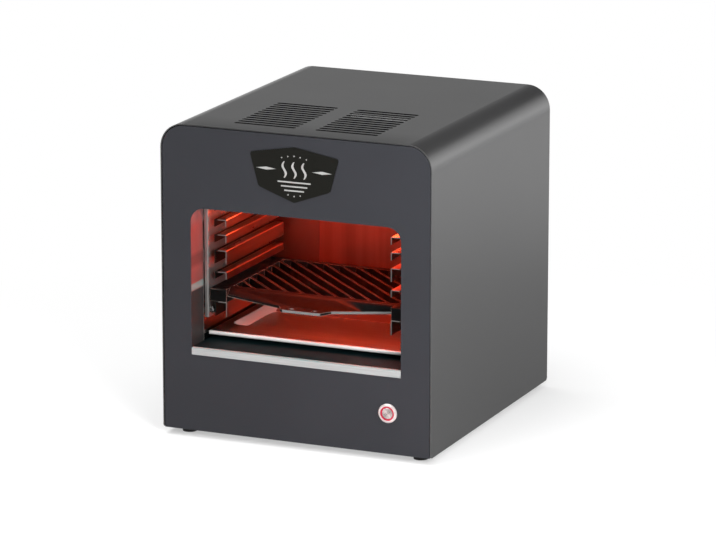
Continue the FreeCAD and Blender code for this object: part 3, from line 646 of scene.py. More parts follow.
@dataclass(frozen=True)
class Moulded(Mottled):
    """Rubber or plastic from a spark-eroded mould, and base of the finishes with such a grain."""

    roughness: float = 0.6
    drift: float = 0.06
    cloud_scale: float = 30.0
    cloud: float = 0.12
    grain_scale: float = 1200.0
    grain: float = 0.12
    wave_scale: float = 500.0
    sand_scale: float = 1200.0
    sand: float = 1.0
    relief: float = 0.4
    depth: float = 0.04

    def emboss(self, graph: MaterialGraph) -> None:
        """Gives the face its grain."""
        values = {"Wave Scale": self.wave_scale, "Sand Scale": self.sand_scale, "Sand": self.sand}
        graph.bump(graph.group(Effects.peel(), values)["Height"], self.relief, self.depth)

    def fill(self, graph: MaterialGraph) -> None:
        """Wires the moulding into its shader.

        Args:
            graph: The material's graph.
        """
        cloud, rough = self.ground(graph)
        self.lay(graph, cloud["Colour"], rough)
        self.emboss(graph)


@dataclass(frozen=True)
class PowderCoat(Moulded):
    """Baked coat with a fine satin grain and a painted highlight along its edges."""

    drift: float = 0.04
    cloud_scale: float = 8.0
    cloud: float = 0.05
    grain_scale: float = 1400.0
    grain: float = 0.10
    wave_scale: float = 320.0
    sand_scale: float = 1700.0
    sand: float = 0.6
    relief: float = 0.25
    depth: float = 0.05
    gloss: float = 0.35
    edge_highlight: float = 1.5
    edge_width: float = 0.9
    edge_share: float = 0.6

    def edge(self, graph: MaterialGraph, rim: Output, cloud: Output) -> tuple[Output, Any]:
        """How much of an edge shows another colour, and that colour: here a lighter one, a painted highlight.
        """
        return graph.times(rim, self.edge_share), self.toned(self.edge_highlight)

    def fill(self, graph: MaterialGraph) -> None:
        """Wires the coat into its shader.

        Args:
            graph: The material's graph.
        """
        cloud, rough = self.ground(graph)
        rim = graph.group(Effects.edges(), {"Radius": self.edge_width * MM})["Mask"]
        # Painted highlight: the edges take a lighter colour here; on cast enamel they take a bare-iron colour
        # that is partly a painted highlight.
        share, colour = self.edge(graph, rim, cloud["Value"])
        self.lay(graph, graph.blend(share, cloud["Colour"], colour), rough)
        graph.wire({"Specular IOR Level": self.gloss})
        self.emboss(graph)


@dataclass(frozen=True)
class CastEnamel(PowderCoat):
    """Black enamel over cast iron: softly pitted, its crests showing wear and a painted highlight."""

    roughness: float = 0.44
    drift: float = 0.1
    cloud_scale: float = 60.0
    cloud: float = 0.25
    grain_scale: float = 1500.0
    grain: float = 0.2
    wave_scale: float = 260.0
    sand_scale: float = 1100.0
    sand: float = 0.8
    relief: float = 0.6
    depth: float = 0.12
    gloss: float = 0.07
    edge_width: float = 0.7
    wear_and_highlight: Colour = (0.6, 0.45, 0.38)

    def edge(self, graph: MaterialGraph, rim: Output, cloud: Output) -> tuple[Output, Any]:
        """Bare iron where the enamel wears, with a painted highlight, in patches that follow the clouds."""
        return graph.times(rim, cloud), (*self.wear_and_highlight, 1.0)


@dataclass(frozen=True)
class SheetSteel(Finish):
    """Bare sheet with streaks along one way, smudges and a faint heat tint."""

    roughness: float = 0.3
    way: Way = Way.UP
    streak: float = 0.08
    scale: float = 500.0
    draw: float = 0.02
    darkening: float = 1.5
    stain_scale: float = 14.0
    stain_start: float = 0.45
    tint: Colour = (0.5, 0.36, 0.2)
    tinting: float = 0.0
    smudge: float = 0.1
    relief: float = 0.3
    depth: float = 0.01
    metal: float = 1.0

    def stretch(self) -> Point:
        """How coordinates shrink along the streaks."""
        return tuple(self.draw if abs(part) > 0.5 else 1.0 for part in self.way.value)

    def fill(self, graph: MaterialGraph) -> None:
        """Wires the metal into its shader.

        Args:
            graph: The material's graph.
        """
        drawn = graph.group(Effects.streaks(), {"Stretch": self.stretch(), "Scale": self.scale})
        patch = graph.group(Effects.stain(), {"Scale": self.stain_scale, "Start": self.stain_start})["Mask"]
        plain = graph.blend(drawn["Streak"], self.toned(1 - self.streak * self.darkening), self.toned())
        tone = graph.blend(graph.times(patch, self.tinting), plain, (*self.tint, 1.0))
        grain = graph.times(drawn["Broad"], self.streak)
        rough = graph.plus(graph.plus(grain, graph.times(patch, self.smudge)), self.roughness)
        self.lay(graph, tone, rough, self.metal)
        graph.bump(drawn["Streak"], self.relief, self.depth)


@dataclass(frozen=True)
class Fibre(Mottled):
    """Pressed mineral fibre, pale and dull, that can glow where the heat is."""

    roughness: float = 0.885
    drift: float = 0.065
    cloud_scale: float = 40.0
    cloud: float = 0.1
    grain_scale: float = 800.0
    grain: float = 0.15
    strand_scale: float = 700.0
    strand_stretch: Point = (0.3, 1.0, 1.0)
    relief: float = 0.6
    depth: float = 0.2
    glow: Colour = (1.0, 0.055, 0.02)
    least_glow: float = 0.8
    strength: float = 0.0
    glow_top: float = 283.5
    glow_fade: float = 1.0

    def fill(self, graph: MaterialGraph) -> None:
        """Wires the fibre board into its shader.

        Args:
            graph: The material's graph.
        """
        cloud, rough = self.ground(graph)
        self.lay(graph, cloud["Colour"], rough)
        drawn = graph.group(Effects.streaks(), {"Stretch": self.strand_stretch, "Scale": self.strand_scale})
        graph.bump(drawn["Streak"], self.relief, self.depth)
        if self.strength > 0:
            top = (self.glow_top + self.glow_fade) * MM
            low = graph.spread(graph.along("Z"), self.glow_top * MM, top, 1.0, 0.0)
            lit = graph.times(low, graph.from_noise(cloud["Value"], self.least_glow))
            tone = graph.blend(lit, BLACK, (*self.glow, 1.0))
            graph.wire({"Emission Color": tone, "Emission Strength": self.strength})


@dataclass(frozen=True)
class HotRibbon(Mottled):
    """Resistance band at working heat, brighter between its turns."""

    roughness: float = 0.55
    drift: float = 0.1
    cloud_scale: float = 90.0
    cloud: float = 0.3
    heat: Colour = (1.0, 0.1, 0.025)
    cooler: float = 0.7
    strength: float = 32.0

    def fill(self, graph: MaterialGraph) -> None:
        """Wires the hot metal into its shader.

        Args:
            graph: The material's graph.
        """
        cloud, rough = self.ground(graph)
        self.lay(graph, cloud["Colour"], rough)
        dimmer = tuple(part * self.cooler for part in self.heat) + (1.0,)
        glow = graph.blend(graph.from_noise(cloud["Value"]), dimmer, (*self.heat, 1.0))
        graph.wire({"Emission Color": glow, "Emission Strength": self.strength})


@dataclass(frozen=True)
class LitPlastic(Mottled):
    """Clear-tinted plastic with a lamp behind it."""

    roughness: float = 0.3
    cloud_scale: float = 300.0
    cloud: float = 0.12
    strength: float = 0.5

    def fill(self, graph: MaterialGraph) -> None:
        """Wires the lit plastic into its shader.

        Args:
            graph: The material's graph.
        """
        cloud, rough = self.ground(graph)
        self.lay(graph, cloud["Colour"], rough)
        graph.wire({"Emission Color": cloud["Colour"], "Emission Strength": self.strength})


@dataclass(frozen=True)
class TurnedMetal(Finish):
    """Lathe-turned metal with fine rings about an axis along Y and a painted highlight in two lobes round it.
    """

    centre: Spot = (113.0, 55.3)
    roughness: float = 0.28
    smoother: float = 0.03
    rougher: float = 0.05
    metal: float = 1.0
    highlight_fan: float = 0.0
    fan_turn: float = 0.8
    ring_pitch: float = 0.25
    ring_tone: float = 0.88
    relief: float = 0.25
    depth: float = 0.02

    def fill(self, graph: MaterialGraph) -> None:
        """Wires the turned metal into its shader.

        Args:
            graph: The material's graph.
        """
        centre = (-self.centre[0] * MM, 0.0, -self.centre[1] * MM)
        moved = graph.add("Mapping", {"Vector": graph.spots(), "Location": centre}).outputs[0]
        flat = graph.vectors("MULTIPLY", {0: moved, 1: (1.0, 0.0, 1.0)})[0]
        radius = graph.vectors("LENGTH", {0: flat})["Value"]
        wave = graph.maths("SINE", graph.times(radius, 2 * math.pi / (self.ring_pitch * MM)))
        rings = graph.spread(wave, -1.0, 1.0, 0.0, 1.0)
        tone = graph.blend(rings, self.toned(self.ring_tone), self.toned())
        # Painted highlight: the tone grows lighter and darker round the axis in two bright lobes, as light
        # falls on a turned face.
        part = graph.add("SeparateXYZ", {0: flat}).outputs
        angle = graph.plus(graph.maths("ARCTAN2", part["Z"], part["X"]), self.fan_turn)
        swing = graph.maths("COSINE", graph.times(angle, 2.0))
        tone = graph.vectors("SCALE", {0: tone, "Scale": graph.plus(graph.times(swing, self.highlight_fan), 1.0)})[0]
        rough = graph.spread(rings, 0.0, 1.0, self.roughness - self.smoother, self.roughness + self.rougher)
        self.lay(graph, tone, rough, self.metal)
        graph.bump(rings, self.relief, self.depth)


@dataclass(frozen=True)
class BoardLacquer(Mottled):
    """Green solder lacquer over copper tracks."""

    roughness: float = 0.35
    cloud: float = 0.1
    track: Colour = (0.05, 0.2, 0.07)
    track_scale: float = 90.0
    track_width: float = 0.12
    relief: float = 0.4
    depth: float = 0.05

    def fill(self, graph: MaterialGraph) -> None:
        """Wires the board's lacquer into its shader.

        Args:
            graph: The material's graph.
        """
        brick = graph.add("TexBrick", {
            "Vector": graph.spots(), "Scale": self.track_scale, "Mortar Size": self.track_width,
            "Color1": self.toned(), "Color2": self.toned(), "Mortar": (*self.track, 1.0)}).outputs
        cloud, rough = self.ground(graph, brick["Color"])
        self.lay(graph, cloud["Colour"], rough)
        graph.bump(brick["Fac"], self.relief, self.depth)


class Palette:
    """The grill's finishes."""

    COVER = PowderCoat("anthracite_cover", (0.032, 0.032, 0.0325), (
        # Painted shade: the walls of the roof's vent slots are nearly black.
        Zone((0.0, -160.0, 361.2), (132.0, 160.0, 362.97), (0.002, 0.002, 0.002), 0.5, fade=0.02),
        # Painted shade: the roof's front strip is darker, fading out over 45 mm towards the back and sides.
        Zone((0.0, -181.0, 340.0), (118.0, -172.0, 364.0), (0.021, 0.021, 0.0215), 0.06, 0.0, 45.0)),
        roughness=0.295, gloss=0.8, edge_highlight=5.0, depth=0.015, drift=0.012)
    FRONT = PowderCoat("anthracite_front", (0.025, 0.026, 0.031), roughness=0.5, gloss=0.35, depth=0.03)
    REAR = PowderCoat("anthracite_rear", (0.034, 0.034, 0.037), roughness=0.5, gloss=0.35)
    BADGE = PowderCoat("badge_black", (0.007, 0.007, 0.0055), roughness=0.4, gloss=0.2, depth=0.01)
    INK = SheetSteel("badge_silver", (0.46, 0.46, 0.45), roughness=0.42, way=Way.X, streak=0.05, metal=0.4)
    ZINC = SheetSteel("zinc_sheet", (0.55, 0.56, 0.57), roughness=0.36, way=Way.BACK, scale=200.0)
    SCREW = SheetSteel("screw_zinc", (0.5, 0.5, 0.51), scale=900.0)
    RUBBER = Moulded("foot_rubber", (0.012, 0.012, 0.012), roughness=0.75)
    TRIM = SheetSteel("brushed_trim", (0.52, 0.54, 0.54), (
        # Painted reflection: the trim's top edge is tinted blue-grey and less metallic, so it shows neutral
        # grey instead of the red glow.
        Zone((0.0, -181.0, 104.7), (130.0, -175.0, 106.0), (0.26, 0.36, 0.36), 0.2, 0.3, 0.3),),
        metal=0.45, roughness=0.5, way=Way.X, streak=0.1, scale=900.0)
    LINER = SheetSteel("polished_liner", (0.6, 0.56, 0.54), (
        # Painted reflection of the red glow on the front strip of both side walls, above the grate.
        Zone((125.0, -185.0, 170.0), (140.0, -145.0, 300.0), (0.28, 0.098, 0.09), 0.2, 0.5, 1.5),
        # Painted reflection: a darker band across that strip.
        Zone((125.0, -185.0, 200.0), (140.0, -145.0, 208.0), (0.17, 0.07, 0.065), 0.2, 0.5, 6.0),
        # Painted reflection: a grey-pink top to that strip.
        Zone((125.0, -185.0, 252.0), (140.0, -145.0, 300.0), (0.24, 0.14, 0.14), 0.2, 0.5, 10.0),
        # Painted reflection: a pale band just above the grate.
        Zone((125.0, -185.0, 170.5), (140.0, -145.0, 176.5), (0.2, 0.3, 0.29), 0.2, 0.4, 1.5),
        # Painted shade on that strip below the grate.
        Zone((125.0, -185.0, 90.0), (140.0, -145.0, 168.5), (0.03, 0.034, 0.034), 0.25, 0.3, 1.5),
        # Heat tint with a painted red glow at the rear of both side walls, as on the back wall.
        Zone((0.0, 23.6, 90.0), (140.0, 30.0, 300.0), (0.34, 0.12, 0.085), 0.2, 1.0, 0.4)),
        roughness=0.2, streak=0.05, scale=250.0, tinting=0.2, smudge=0.04, depth=0.003)
    # Back wall: heat tint, deepened into a painted red glow.
    TINT_AND_GLOW = SheetSteel("heat_tint_and_glow_liner", (0.36, 0.135, 0.095), roughness=0.4, streak=0.25, scale=50.0)
    FLOOR = SheetSteel("floor_steel", (0.009, 0.03, 0.034), roughness=0.5, way=Way.BACK, streak=0.06,
                       scale=250.0, metal=0.6)
    PLATE = SheetSteel("rack_plate_satin", (0.6, 0.59, 0.57), roughness=0.32, streak=0.07, metal=0.9)
    RACK = SheetSteel("rack_satin", (0.6, 0.59, 0.57), (
        # Painted reflection of the red glow on the lower runner.
        Zone((90.0, -142.5, 100.0), (117.0, 30.0, 151.6), (0.5, 0.36, 0.33), 0.2, 1.0, 0.5),
        # Painted shade inside the runners, on their part next to the plates.
        Zone((112.0, -150.0, 100.0), (117.0, 30.0, 275.0), (0.08, 0.1, 0.095), 0.3, 1.0, 0.5)),
        roughness=0.26, way=Way.BACK, streak=0.07)
    NUT = SheetSteel("nut_polish", (0.8, 0.79, 0.78), roughness=0.16, way=Way.X, streak=0.03)
    # Near-black enamel, darkened further as painted shade, as if food on the grate kept the heater's light
    # off it.
    CAST = CastEnamel("grate_enamel", (0.004, 0.004, 0.004), (
        # Painted highlight on the front-facing lower lip of the apron, from just left of the middle to the
        # right.
        Zone((-22.0, -170.0, 150.0), (101.0, -139.0, 162.5), (0.22, 0.225, 0.22), -0.05, 0.5, 0.2, Way.FRONT,
             False),))
    PAN = SheetSteel("pan_drawn", (0.76, 0.84, 0.83), (
        # Painted highlight: the front bead is paler and less metallic, so that it shows a bright band.
        Zone((0.0, -140.0, 100.0), (130.0, -135.0, 116.0), (0.92, 0.9, 0.88), 0.15, 0.4, 0.5),
        # Painted reflection: the basin's side slopes are paler and less metallic, as if they mirrored the
        # light in front.
        Zone((106.5, -105.0, 106.6), (117.5, 12.0, 113.9), (0.5, 0.5, 0.48), 0.2, 0.3, 0.3),
        # Painted reflection: the basin's back slope is darker and redder, as if it mirrored the glowing
        # cavity.
        Zone((0.0, 1.5, 106.6), (106.0, 13.0, 113.9), (0.2, 0.13, 0.11), 0.3, 0.8, 0.5)),
        roughness=0.34, way=Way.X, streak=0.05, scale=180.0, smudge=0.03, depth=0.001)
    RIBBON = HotRibbon("ribbon_heat", (0.2, 0.1, 0.06))
    CERAMIC = Fibre("heater_board", (0.75, 0.7, 0.6), strength=14.0)
    MAT = Fibre("mineral_mat", (0.7, 0.66, 0.55))
    # Heat shield: dark scaled sheet, darkened further as painted shade where it shows through the roof vents.
    SHIELD = SheetSteel("scaled_and_shaded_sheet", (0.03, 0.029, 0.028), roughness=0.6, way=Way.X, scale=120.0)
    ALUMINISED = SheetSteel("aluminised_sheet", (0.3, 0.3, 0.3), roughness=0.4, way=Way.X, scale=120.0)
    BRASS = SheetSteel("stud_brass", (0.6, 0.42, 0.17))
    PORCELAIN = Moulded("bush_porcelain", (0.78, 0.76, 0.7), roughness=0.3)
    LACQUER = BoardLacquer("board_lacquer", (0.012, 0.1, 0.03))
    PLASTIC = Moulded("black_moulding", (0.02, 0.02, 0.022), roughness=0.45)
    RELAY = Moulded("relay_blue", (0.02, 0.06, 0.25), roughness=0.35)
    CORE = Moulded("core_laminate", (0.08, 0.055, 0.035), roughness=0.5, grain_scale=2500.0,
                   sand_scale=2500.0)
    BEZEL = TurnedMetal("bezel_turned", (0.8, 0.71, 0.7), roughness=0.34, metal=0.5, highlight_fan=0.1)
    CAP = TurnedMetal("cap_turned", (0.62, 0.54, 0.53), roughness=0.24, metal=0.6, highlight_fan=0.3)
    RING = LitPlastic("ring_red", (0.36, 0.01, 0.035), strength=0.32)


Finishes = tuple[tuple[str, Finish], ...]


# Sub-assemblies


@dataclass
class SubAssembly:
    """Base of the sub-assemblies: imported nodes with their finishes, and what is made new."""

    finishes: Finishes = ()

    def make(self) -> None:
        """Makes the new pieces, where there are any."""

    def build(self) -> None:
        """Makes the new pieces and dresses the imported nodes."""
        self.make()
        for node, finish in self.finishes:
            dress(node, finish)


@dataclass
class PanScrew:
    """Cross-recessed pan head, modelled with its seat at the origin and +Z outwards."""

    radius: float = 3.2
    height: float = 1.6
    sides: int = 24
    crown: float = 0.96
    recess: float = 3.4
    recess_width: float = 0.8
    recess_depth: float = 1.0

    def head(self) -> Piece:
        """Models one head.

        Returns:
            The head around the origin.
        """
        head = cylinder("screw_head", self.radius, self.height, self.sides)
        bpy.ops.object.transform_apply(location=True)
        bpy.ops.object.mode_set(mode="EDIT")
        choose_edges(head, lambda at: at.z > self.height * 0.9 and at.xy.length > self.radius * 0.9)
        bpy.ops.mesh.bevel(offset=self.crown * MM, segments=3, affect="EDGES")
        bpy.ops.object.mode_set(mode="OBJECT")
        for turn in (0.0, 90.0):
            clear()
            bpy.ops.mesh.primitive_cube_add(size=MM, location=(0, 0, self.height * MM),
                                            rotation=(0, 0, math.radians(turn)))
            blade = added("recess")
            blade.scale = (self.recess, self.recess_width, self.recess_depth * 2)
            bpy.context.view_layer.update()
            cut_away(head, blade)
        return settle(head)


@dataclass
class CaseShell(SubAssembly):
    """Cover, front, back and base with feet and fasteners."""

    finishes: Finishes = (
        ("outer_cover", Palette.COVER), ("front_panel", Palette.FRONT), ("back_panel", Palette.REAR),
        ("base_plate", Palette.ZINC), ("rubber_feet", Palette.RUBBER))
    rim_x: float = 160.0
    rear_face: float = 180.0
    rear_levels: tuple[float, ...] = (58.0, 186.0, 312.0)
    hem_low: float = 8.0
    hem_places: tuple[float, ...] = (-118.0, 0.0, 118.0)
    foot_x: float = 143.0
    foot_places: tuple[float, ...] = (-156.0, 130.0)
    foot_seat: float = 4.5
    screw: PanScrew = field(default_factory=PanScrew)

    def make(self) -> None:
        """Makes the screws of the rear, the base and the feet."""
        rear = [((self.rim_x, self.rear_face, level), Way.BACK) for level in self.rear_levels]
        low = [((self.rim_x, y, self.hem_low), Way.DOWN) for y in self.hem_places]
        feet = [((self.foot_x, y, self.foot_seat), Way.DOWN) for y in self.foot_places]
        for name, seats in (("rear_screws", rear), ("base_screws", low), ("foot_screws", feet)):
            places = [facing((side * x, y, z), way) for side in (-1, 1) for (x, y, z), way in seats]
            piece = settle(copies(self.screw.head(), name, places))
            hand_over(piece, Body.CASE, Palette.SCREW)


@dataclass
class Badge(SubAssembly):
    """Shield over the window with rising heat waves over three bars, wings and small diamonds."""

    finishes: Finishes = (("badge_plate", Palette.BADGE),)
    face: float = -181.0
    print_depth: float = 0.12
    wave_height: float = 18.5
    wave_width: float = 3.0
    wave_swing: float = 2.0
    wave_steps: int = 16
    wave_ends: Spot = (0.12, 0.88)
    wave_fullness: float = 0.8
    wave_places: tuple[float, ...] = (-12.0, 0.0, 12.0)
    wave_low: float = 313.0
    bar_levels: tuple[float, ...] = (308.4, 303.6, 298.8)
    bar_lengths: tuple[float, ...] = (40.0, 32.0, 24.0)
    bar_thickness: float = 1.6
    wing_places: tuple[float, ...] = (-34.0, 34.0)
    wing_level: float = 322.0
    wing: Spot = (24.0, 3.4)
    diamond: float = 1.9
    diamond_places: tuple[Spot, ...] = (
        (-15.0, 335.6), (-7.5, 337.4), (0.0, 338.2), (7.5, 337.4), (15.0, 335.6),
        (-7.4, 293.8), (0.0, 292.6), (7.4, 293.8))

    def mark(self, name: str, points: list[Spot]) -> Piece:
        """Prints a polygon on the badge's face.

        Args:
            name: Name of the piece.
            points: Its corners as (x, z).

        Returns:
            The closed piece, as thick as the print.
        """
        clear()
        bpy.ops.mesh.primitive_circle_add(vertices=len(points), radius=MM, fill_type="NGON",
                                          location=(0, self.face * MM, 0), rotation=(math.radians(90), 0, 0))
        piece = added(name)
        bpy.ops.object.transform_apply(location=True, rotation=True)
        bpy.ops.object.mode_set(mode="EDIT")
        bpy.ops.mesh.select_mode(type="VERT")
        for number, (x, z) in enumerate(points):
            bpy.ops.mesh.select_all(action="DESELECT")
            mesh = bmesh.from_edit_mesh(piece.data)
            mesh.verts.ensure_lookup_table()
            vert = mesh.verts[number]
            vert.select_set(True)
            step = Vector((x * MM, self.face * MM, z * MM)) - vert.co
            bmesh.update_edit_mesh(piece.data)
            bpy.ops.transform.translate(value=step)
        bpy.ops.mesh.select_all(action="SELECT")
        bpy.ops.mesh.extrude_region_move(TRANSFORM_OT_translate={"value": (0, -self.print_depth * MM, 0)})
        bpy.ops.object.mode_set(mode="OBJECT")
        return piece

    def lozenge(self, at: Spot, size: Spot) -> Piece:
        """Prints a four-cornered mark, its tips half its size left, right, above and below a spot."""
        (x, z), (half, rise) = at, (size[0] / 2, size[1] / 2)
        return self.mark("badge_lozenge", [(x, z - rise), (x + half, z), (x, z + rise), (x - half, z)])

    def bar(self, level: float, length: float) -> Piece:
        """Prints a level bar across the middle."""
        x, low, high = length / 2, level - self.bar_thickness / 2, level + self.bar_thickness / 2
        return self.mark("badge_bar", [(-x, low), (x, low), (x, high), (-x, high)])

    def wave(self) -> Piece:
        """Prints one rising wave that narrows towards both ends.

        Returns:
            The closed piece at the middle of the badge.
        """
        left, right = [], []
        first, last = self.wave_ends
        for step in range(self.wave_steps + 1):
            share = step / self.wave_steps
            z = self.wave_low + share * self.wave_height
            x = self.wave_swing * math.sin(2 * math.pi * share)
            swell = math.sin(math.pi * (first + (last - first) * share)) ** self.wave_fullness
            half = self.wave_width / 2 * swell
            left.append((x - half, z))
            right.append((x + half, z))
        return self.mark("badge_wave", right + left[::-1])

    def make(self) -> None:
        """Makes the print."""
        places = [Matrix.Translation((x * MM, 0, 0)) for x in self.wave_places]
        marks = [copies(self.wave(), "badge_waves", places)]
        marks += [self.bar(level, length) for level, length in zip(self.bar_levels, self.bar_lengths)]
        marks += [self.lozenge((x, self.wing_level), self.wing) for x in self.wing_places]
        marks += [self.lozenge(at, (self.diamond, self.diamond)) for at in self.diamond_places]
        pick(*marks)
        bpy.ops.object.join()
        hand_over(settle(added("badge_print")), Body.CASE, Palette.INK)


@dataclass
class Cavity(SubAssembly):
    """Stainless liner and the trim over the window's lower edge."""

    finishes: Finishes = (
        ("cavity_wall_left", Palette.LINER), ("cavity_wall_right", Palette.LINER),
        ("cavity_ceiling", Palette.LINER), ("cavity_back", Palette.TINT_AND_GLOW), ("cavity_floor", Palette.FLOOR),
        ("sill_trim", Palette.TRIM))


@dataclass
class SideRacks(SubAssembly):
    """Rack plates, runners and their domed nuts."""

    finishes: Finishes = (
        ("rack_plate_left", Palette.PLATE), ("rack_runners_left", Palette.RACK),
        ("rack_plate_right", Palette.PLATE), ("rack_runners_right", Palette.RACK),
        ("rack_spacers", Palette.ZINC))
    face: float = 123.7
    front_y: float = -138.0
    levels: tuple[float, ...] = (140.7, 264.2)
    flats: float = 7.0
    collar: float = 3.0
    collar_edge: float = 0.35
    dome: float = 3.3
    dome_sunk: float = 0.2
    washer: float = 4.2
    washer_sheet: float = 0.6
    washer_edge: float = 0.15

    def nut(self) -> Piece:
        """Domed cap nut on a washer, standing on its seat and looking up +Z.

        Returns:
            The nut around the origin.
        """
        collar = cylinder("nut_collar", self.flats / math.sqrt(3), self.collar, 6)
        bevelled(collar, self.collar_edge)
        clear()
        bpy.ops.mesh.primitive_uv_sphere_add(segments=20, ring_count=12, radius=self.dome * MM,
                                             location=(0, 0, self.collar * MM))
        dome = added("nut_dome")
        bpy.ops.object.transform_apply(location=True)
        bpy.ops.object.mode_set(mode="EDIT")
        bpy.ops.mesh.select_all(action="SELECT")
        bpy.ops.mesh.bisect(plane_co=(0, 0, (self.collar - self.dome_sunk) * MM), plane_no=Way.UP.value,
                            clear_inner=True, use_fill=True)
        bpy.ops.object.mode_set(mode="OBJECT")
        washer = cylinder("nut_washer", self.washer, self.washer_sheet, 24)
        bevelled(washer, self.washer_edge)
        pick(collar, dome, washer)
        bpy.ops.object.join()
        return settle(added("nut"))

    def make(self) -> None:
        """Makes the nuts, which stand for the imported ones."""
        places = [facing((side * self.face, self.front_y, level), way)
                  for side, way in ((1, Way.LEFT), (-1, Way.X)) for level in self.levels]
        nuts = settle(copies(self.nut(), "domed_nuts", places))
        hand_over(nuts, Body.CASE, Palette.NUT)
        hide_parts("rack_cap_nuts")


@dataclass
class SlidingGrate(SubAssembly):
    """Cast grate with softened edges; angles in degrees."""

    rounding: float = 0.45
    rounded_past: float = 28.0
    sharp_past: float = 30.0
    merge: float = 0.02
    flat_within: float = 1.0

    def make(self) -> None:
        """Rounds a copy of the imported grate, which it stands for."""
        model = bpy.data.objects["grill_grate"]
        casting = model.copy()
        casting.data = model.data.copy()
        casting.name = "grate_casting"
        casting.parent = None
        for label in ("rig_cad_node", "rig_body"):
            if label in casting:
                del casting[label]
        bpy.context.scene.collection.objects.link(casting)
        pick(casting)
        bpy.ops.object.mode_set(mode="EDIT")
        bpy.ops.mesh.select_all(action="SELECT")
        bpy.ops.mesh.remove_doubles(threshold=self.merge * MM)
        bpy.ops.mesh.dissolve_limited(angle_limit=math.radians(self.flat_within))
        bpy.ops.object.mode_set(mode="OBJECT")
        bevelled(casting, self.rounding, self.rounded_past)
        hand_over(settle(casting, self.sharp_past), Body.GRATE, Palette.CAST)
        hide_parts("grill_grate")


@dataclass
class DripPan(SubAssembly):
    """Drawn pan under the grate."""

    finishes: Finishes = (("drip_pan", Palette.PAN),)


@dataclass
class Heater(SubAssembly):
    """Glowing band in its board, packed and hooded over the cavity."""

    finishes: Finishes = (
        ("heating_ribbon", Palette.RIBBON), ("ceramic_board", Palette.CERAMIC),
        ("insulation_mat", Palette.MAT), ("heater_hood", Palette.ALUMINISED), ("heat_shield", Palette.SHIELD),
        ("terminal_studs", Palette.BRASS), ("terminal_bushes", Palette.PORCELAIN),
        ("thermal_cutout", Palette.ALUMINISED))


@dataclass
class Inside(SubAssembly):
    """Frame and electrical parts behind and under the cavity, and the lead's way in."""

    finishes: Finishes = (
        ("cavity_supports", Palette.ZINC), ("rear_bulkhead", Palette.ZINC),
        ("control_board", Palette.LACQUER), ("board_standoffs", Palette.BRASS),
        ("power_relay", Palette.RELAY), ("board_transformer", Palette.CORE),
        ("terminal_block", Palette.PORCELAIN),
        ("cord_inlet", Palette.PLASTIC), ("inlet_nut", Palette.PLASTIC))


@dataclass
class PushButton(SubAssembly):
    """Lit push button under the window."""

    finishes: Finishes = (
        ("button_bezel", Palette.BEZEL), ("button_ring", Palette.RING), ("button_cap", Palette.CAP),
        ("button_module", Palette.PLASTIC), ("button_nut", Palette.ZINC), ("button_blades", Palette.BRASS))


@dataclass
class Lamp:
    """One soft lamp: where it is, where it looks, its sides and its power in watts."""

    name: str
    place: Point
    aim: Point
    width: float
    height: float
    power: float
    in_gloss: bool = True

    def build(self) -> None:
        """Adds the lamp."""
        clear()
        bpy.ops.object.light_add(type="AREA", location=self.place)
        lamp = bpy.context.view_layer.objects.active
        lamp.name = self.name
        lamp.data.shape = "RECTANGLE"
        lamp.data.size = self.width
        lamp.data.size_y = self.height
        lamp.data.energy = self.power
        way = Vector(self.aim) - Vector(self.place)
        lamp.rotation_euler = way.to_track_quat("-Z", "Y").to_euler()
        lamp.visible_camera = False
        lamp.visible_glossy = self.in_gloss


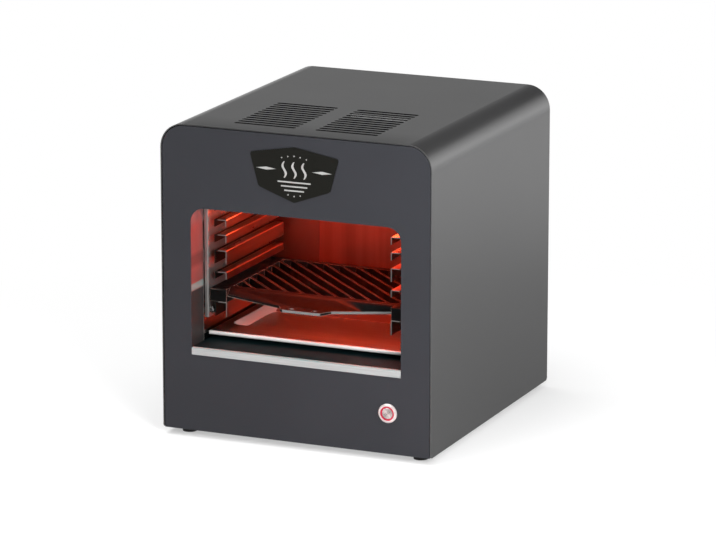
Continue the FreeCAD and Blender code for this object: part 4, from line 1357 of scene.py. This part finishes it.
@dataclass
class Studio:
    """Camera, pale floor, soft lamps and a white surround; sizes in metres."""

    eye: Point = (1.909, -4.4079, 1.3674)
    tilt: float = 75.97
    turn: float = 23.43
    lens: float = 215.7
    sensor: float = 36.0
    ambient: float = 0.42
    gloss_steps: tuple[Spot, ...] = ((0.05, 1.0), (0.22, 0.3), (0.4, 0.03))
    front: Ramp = (-0.45, -0.15, 0.45, 1.0)
    floor_size: float = 30.0
    floor_clouds: float = 3.0
    floor_tone: Spot = (0.89, 0.91)
    floor_seen: Ramp = (0.3, 0.75, 0.4, 1.0)
    floor_glow: tuple[Ramp, Ramp] = ((0.25, 0.9, 0.42, 0.58), (0.8, 1.3, 0.0, 0.4))
    lamps: tuple[Lamp, ...] = (
        Lamp("key", (-0.5, -0.4, 2.7), (0.0, 0.0, 0.2), 2.6, 2.2, 67.0),
        Lamp("side", (0.8, -0.95, 0.5), (0.05, -0.15, 0.2), 0.5, 0.5, 18.5, False),
        Lamp("rear", (1.3, 2.6, 0.6), (0.1, 0.0, 0.2), 1.5, 1.2, 4.0),
    )

    def camera(self) -> None:
        """Adds the camera at the photograph's viewpoint."""
        data = bpy.data.cameras.new("view")
        data.lens = self.lens
        data.sensor_width = self.sensor
        data.clip_end = 60.0
        made = bpy.data.objects.new("view", data)
        bpy.context.scene.collection.objects.link(made)
        made.location = self.eye
        made.rotation_euler = (math.radians(self.tilt), 0.0, math.radians(self.turn))
        bpy.context.scene.camera = made

    def in_front(self, graph: Graph) -> Output:
        """Share of the room that gloss sees: 1 behind and beside the object, less in front of it."""
        return graph.spread(graph.along("Y"), *self.front)

    def floor(self) -> None:
        """Adds the pale floor, which keeps the object's shadow."""
        clear()
        bpy.ops.mesh.primitive_plane_add(size=self.floor_size, location=(0, 0, 0))
        plane = added("studio_floor")
        made = bpy.data.materials.new("floor_pale")
        made.use_nodes = True
        made.node_tree.nodes.clear()
        graph = Graph(made.node_tree)
        tone = graph.from_noise(graph.noise(graph.spots(), self.floor_clouds, 2.0), *self.floor_tone)
        matt = graph.add("BsdfDiffuse", {"Color": tone}).outputs[0]
        path = graph.add("LightPath").outputs
        reach = graph.vectors("LENGTH", {0: graph.spots()})["Value"]
        near, far = (graph.spread(reach, *ramp) for ramp in self.floor_glow)
        level = graph.times(self.in_front(graph), graph.plus(near, far))
        strength = graph.most(level, path["Is Camera Ray"])
        white = graph.add("Emission", {"Color": WHITE, "Strength": strength}).outputs[0]
        direct = graph.most(path["Is Camera Ray"], path["Is Transmission Ray"])
        share = graph.times(graph.spread(reach, *self.floor_seen), direct)
        share = graph.most(share, path["Is Glossy Ray"])
        mixed = graph.add("MixShader", {0: share, 1: matt, 2: white}).outputs[0]
        graph.add("OutputMaterial", {"Surface": mixed})
        plane.data.materials.append(made)

    def surround(self) -> None:
        """Sets a white world that camera, gloss and glass see, with a dimmer light for the rest."""
        world = bpy.data.worlds.new("surround")
        bpy.context.scene.world = world
        world.use_nodes = True
        world.node_tree.nodes.clear()
        graph = Graph(world.node_tree)
        path = graph.add("LightPath").outputs
        height = graph.along("Z")
        (low, white), (middle, pale), (high, dark) = self.gloss_steps
        drop = graph.spread(height, low, middle, white, pale)
        fall = graph.spread(height, middle, high, 1.0, dark / pale)
        room = graph.times(graph.times(drop, fall), self.in_front(graph))
        whole = graph.most(room, path["Is Camera Ray"])
        seen = graph.most(path["Is Camera Ray"], path["Is Glossy Ray"])
        seen = graph.most(seen, path["Is Transmission Ray"])
        level = graph.blend(seen, (self.ambient,) * 3 + (1.0,), whole)
        light = graph.add("Background", {"Color": WHITE, "Strength": level}).outputs[0]
        graph.add("OutputWorld", {"Surface": light})

    def build(self) -> None:
        """Sets up the whole studio."""
        self.camera()
        self.floor()
        self.surround()
        for lamp in self.lamps:
            lamp.build()
        bpy.context.scene.view_settings.view_transform = "Standard"


def main() -> None:
    """Loads the frame and builds the looks."""
    logging.basicConfig(level=logging.INFO, format="%(name)s: %(message)s")
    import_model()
    Studio().build()
    for assembly in (CaseShell(), Badge(), Cavity(), SideRacks(), SlidingGrate(), DripPan(), Heater(),
                     Inside(), PushButton()):
        LOG.info("building %s", type(assembly).__name__)
        assembly.build()


if __name__ == "__main__":
    main()
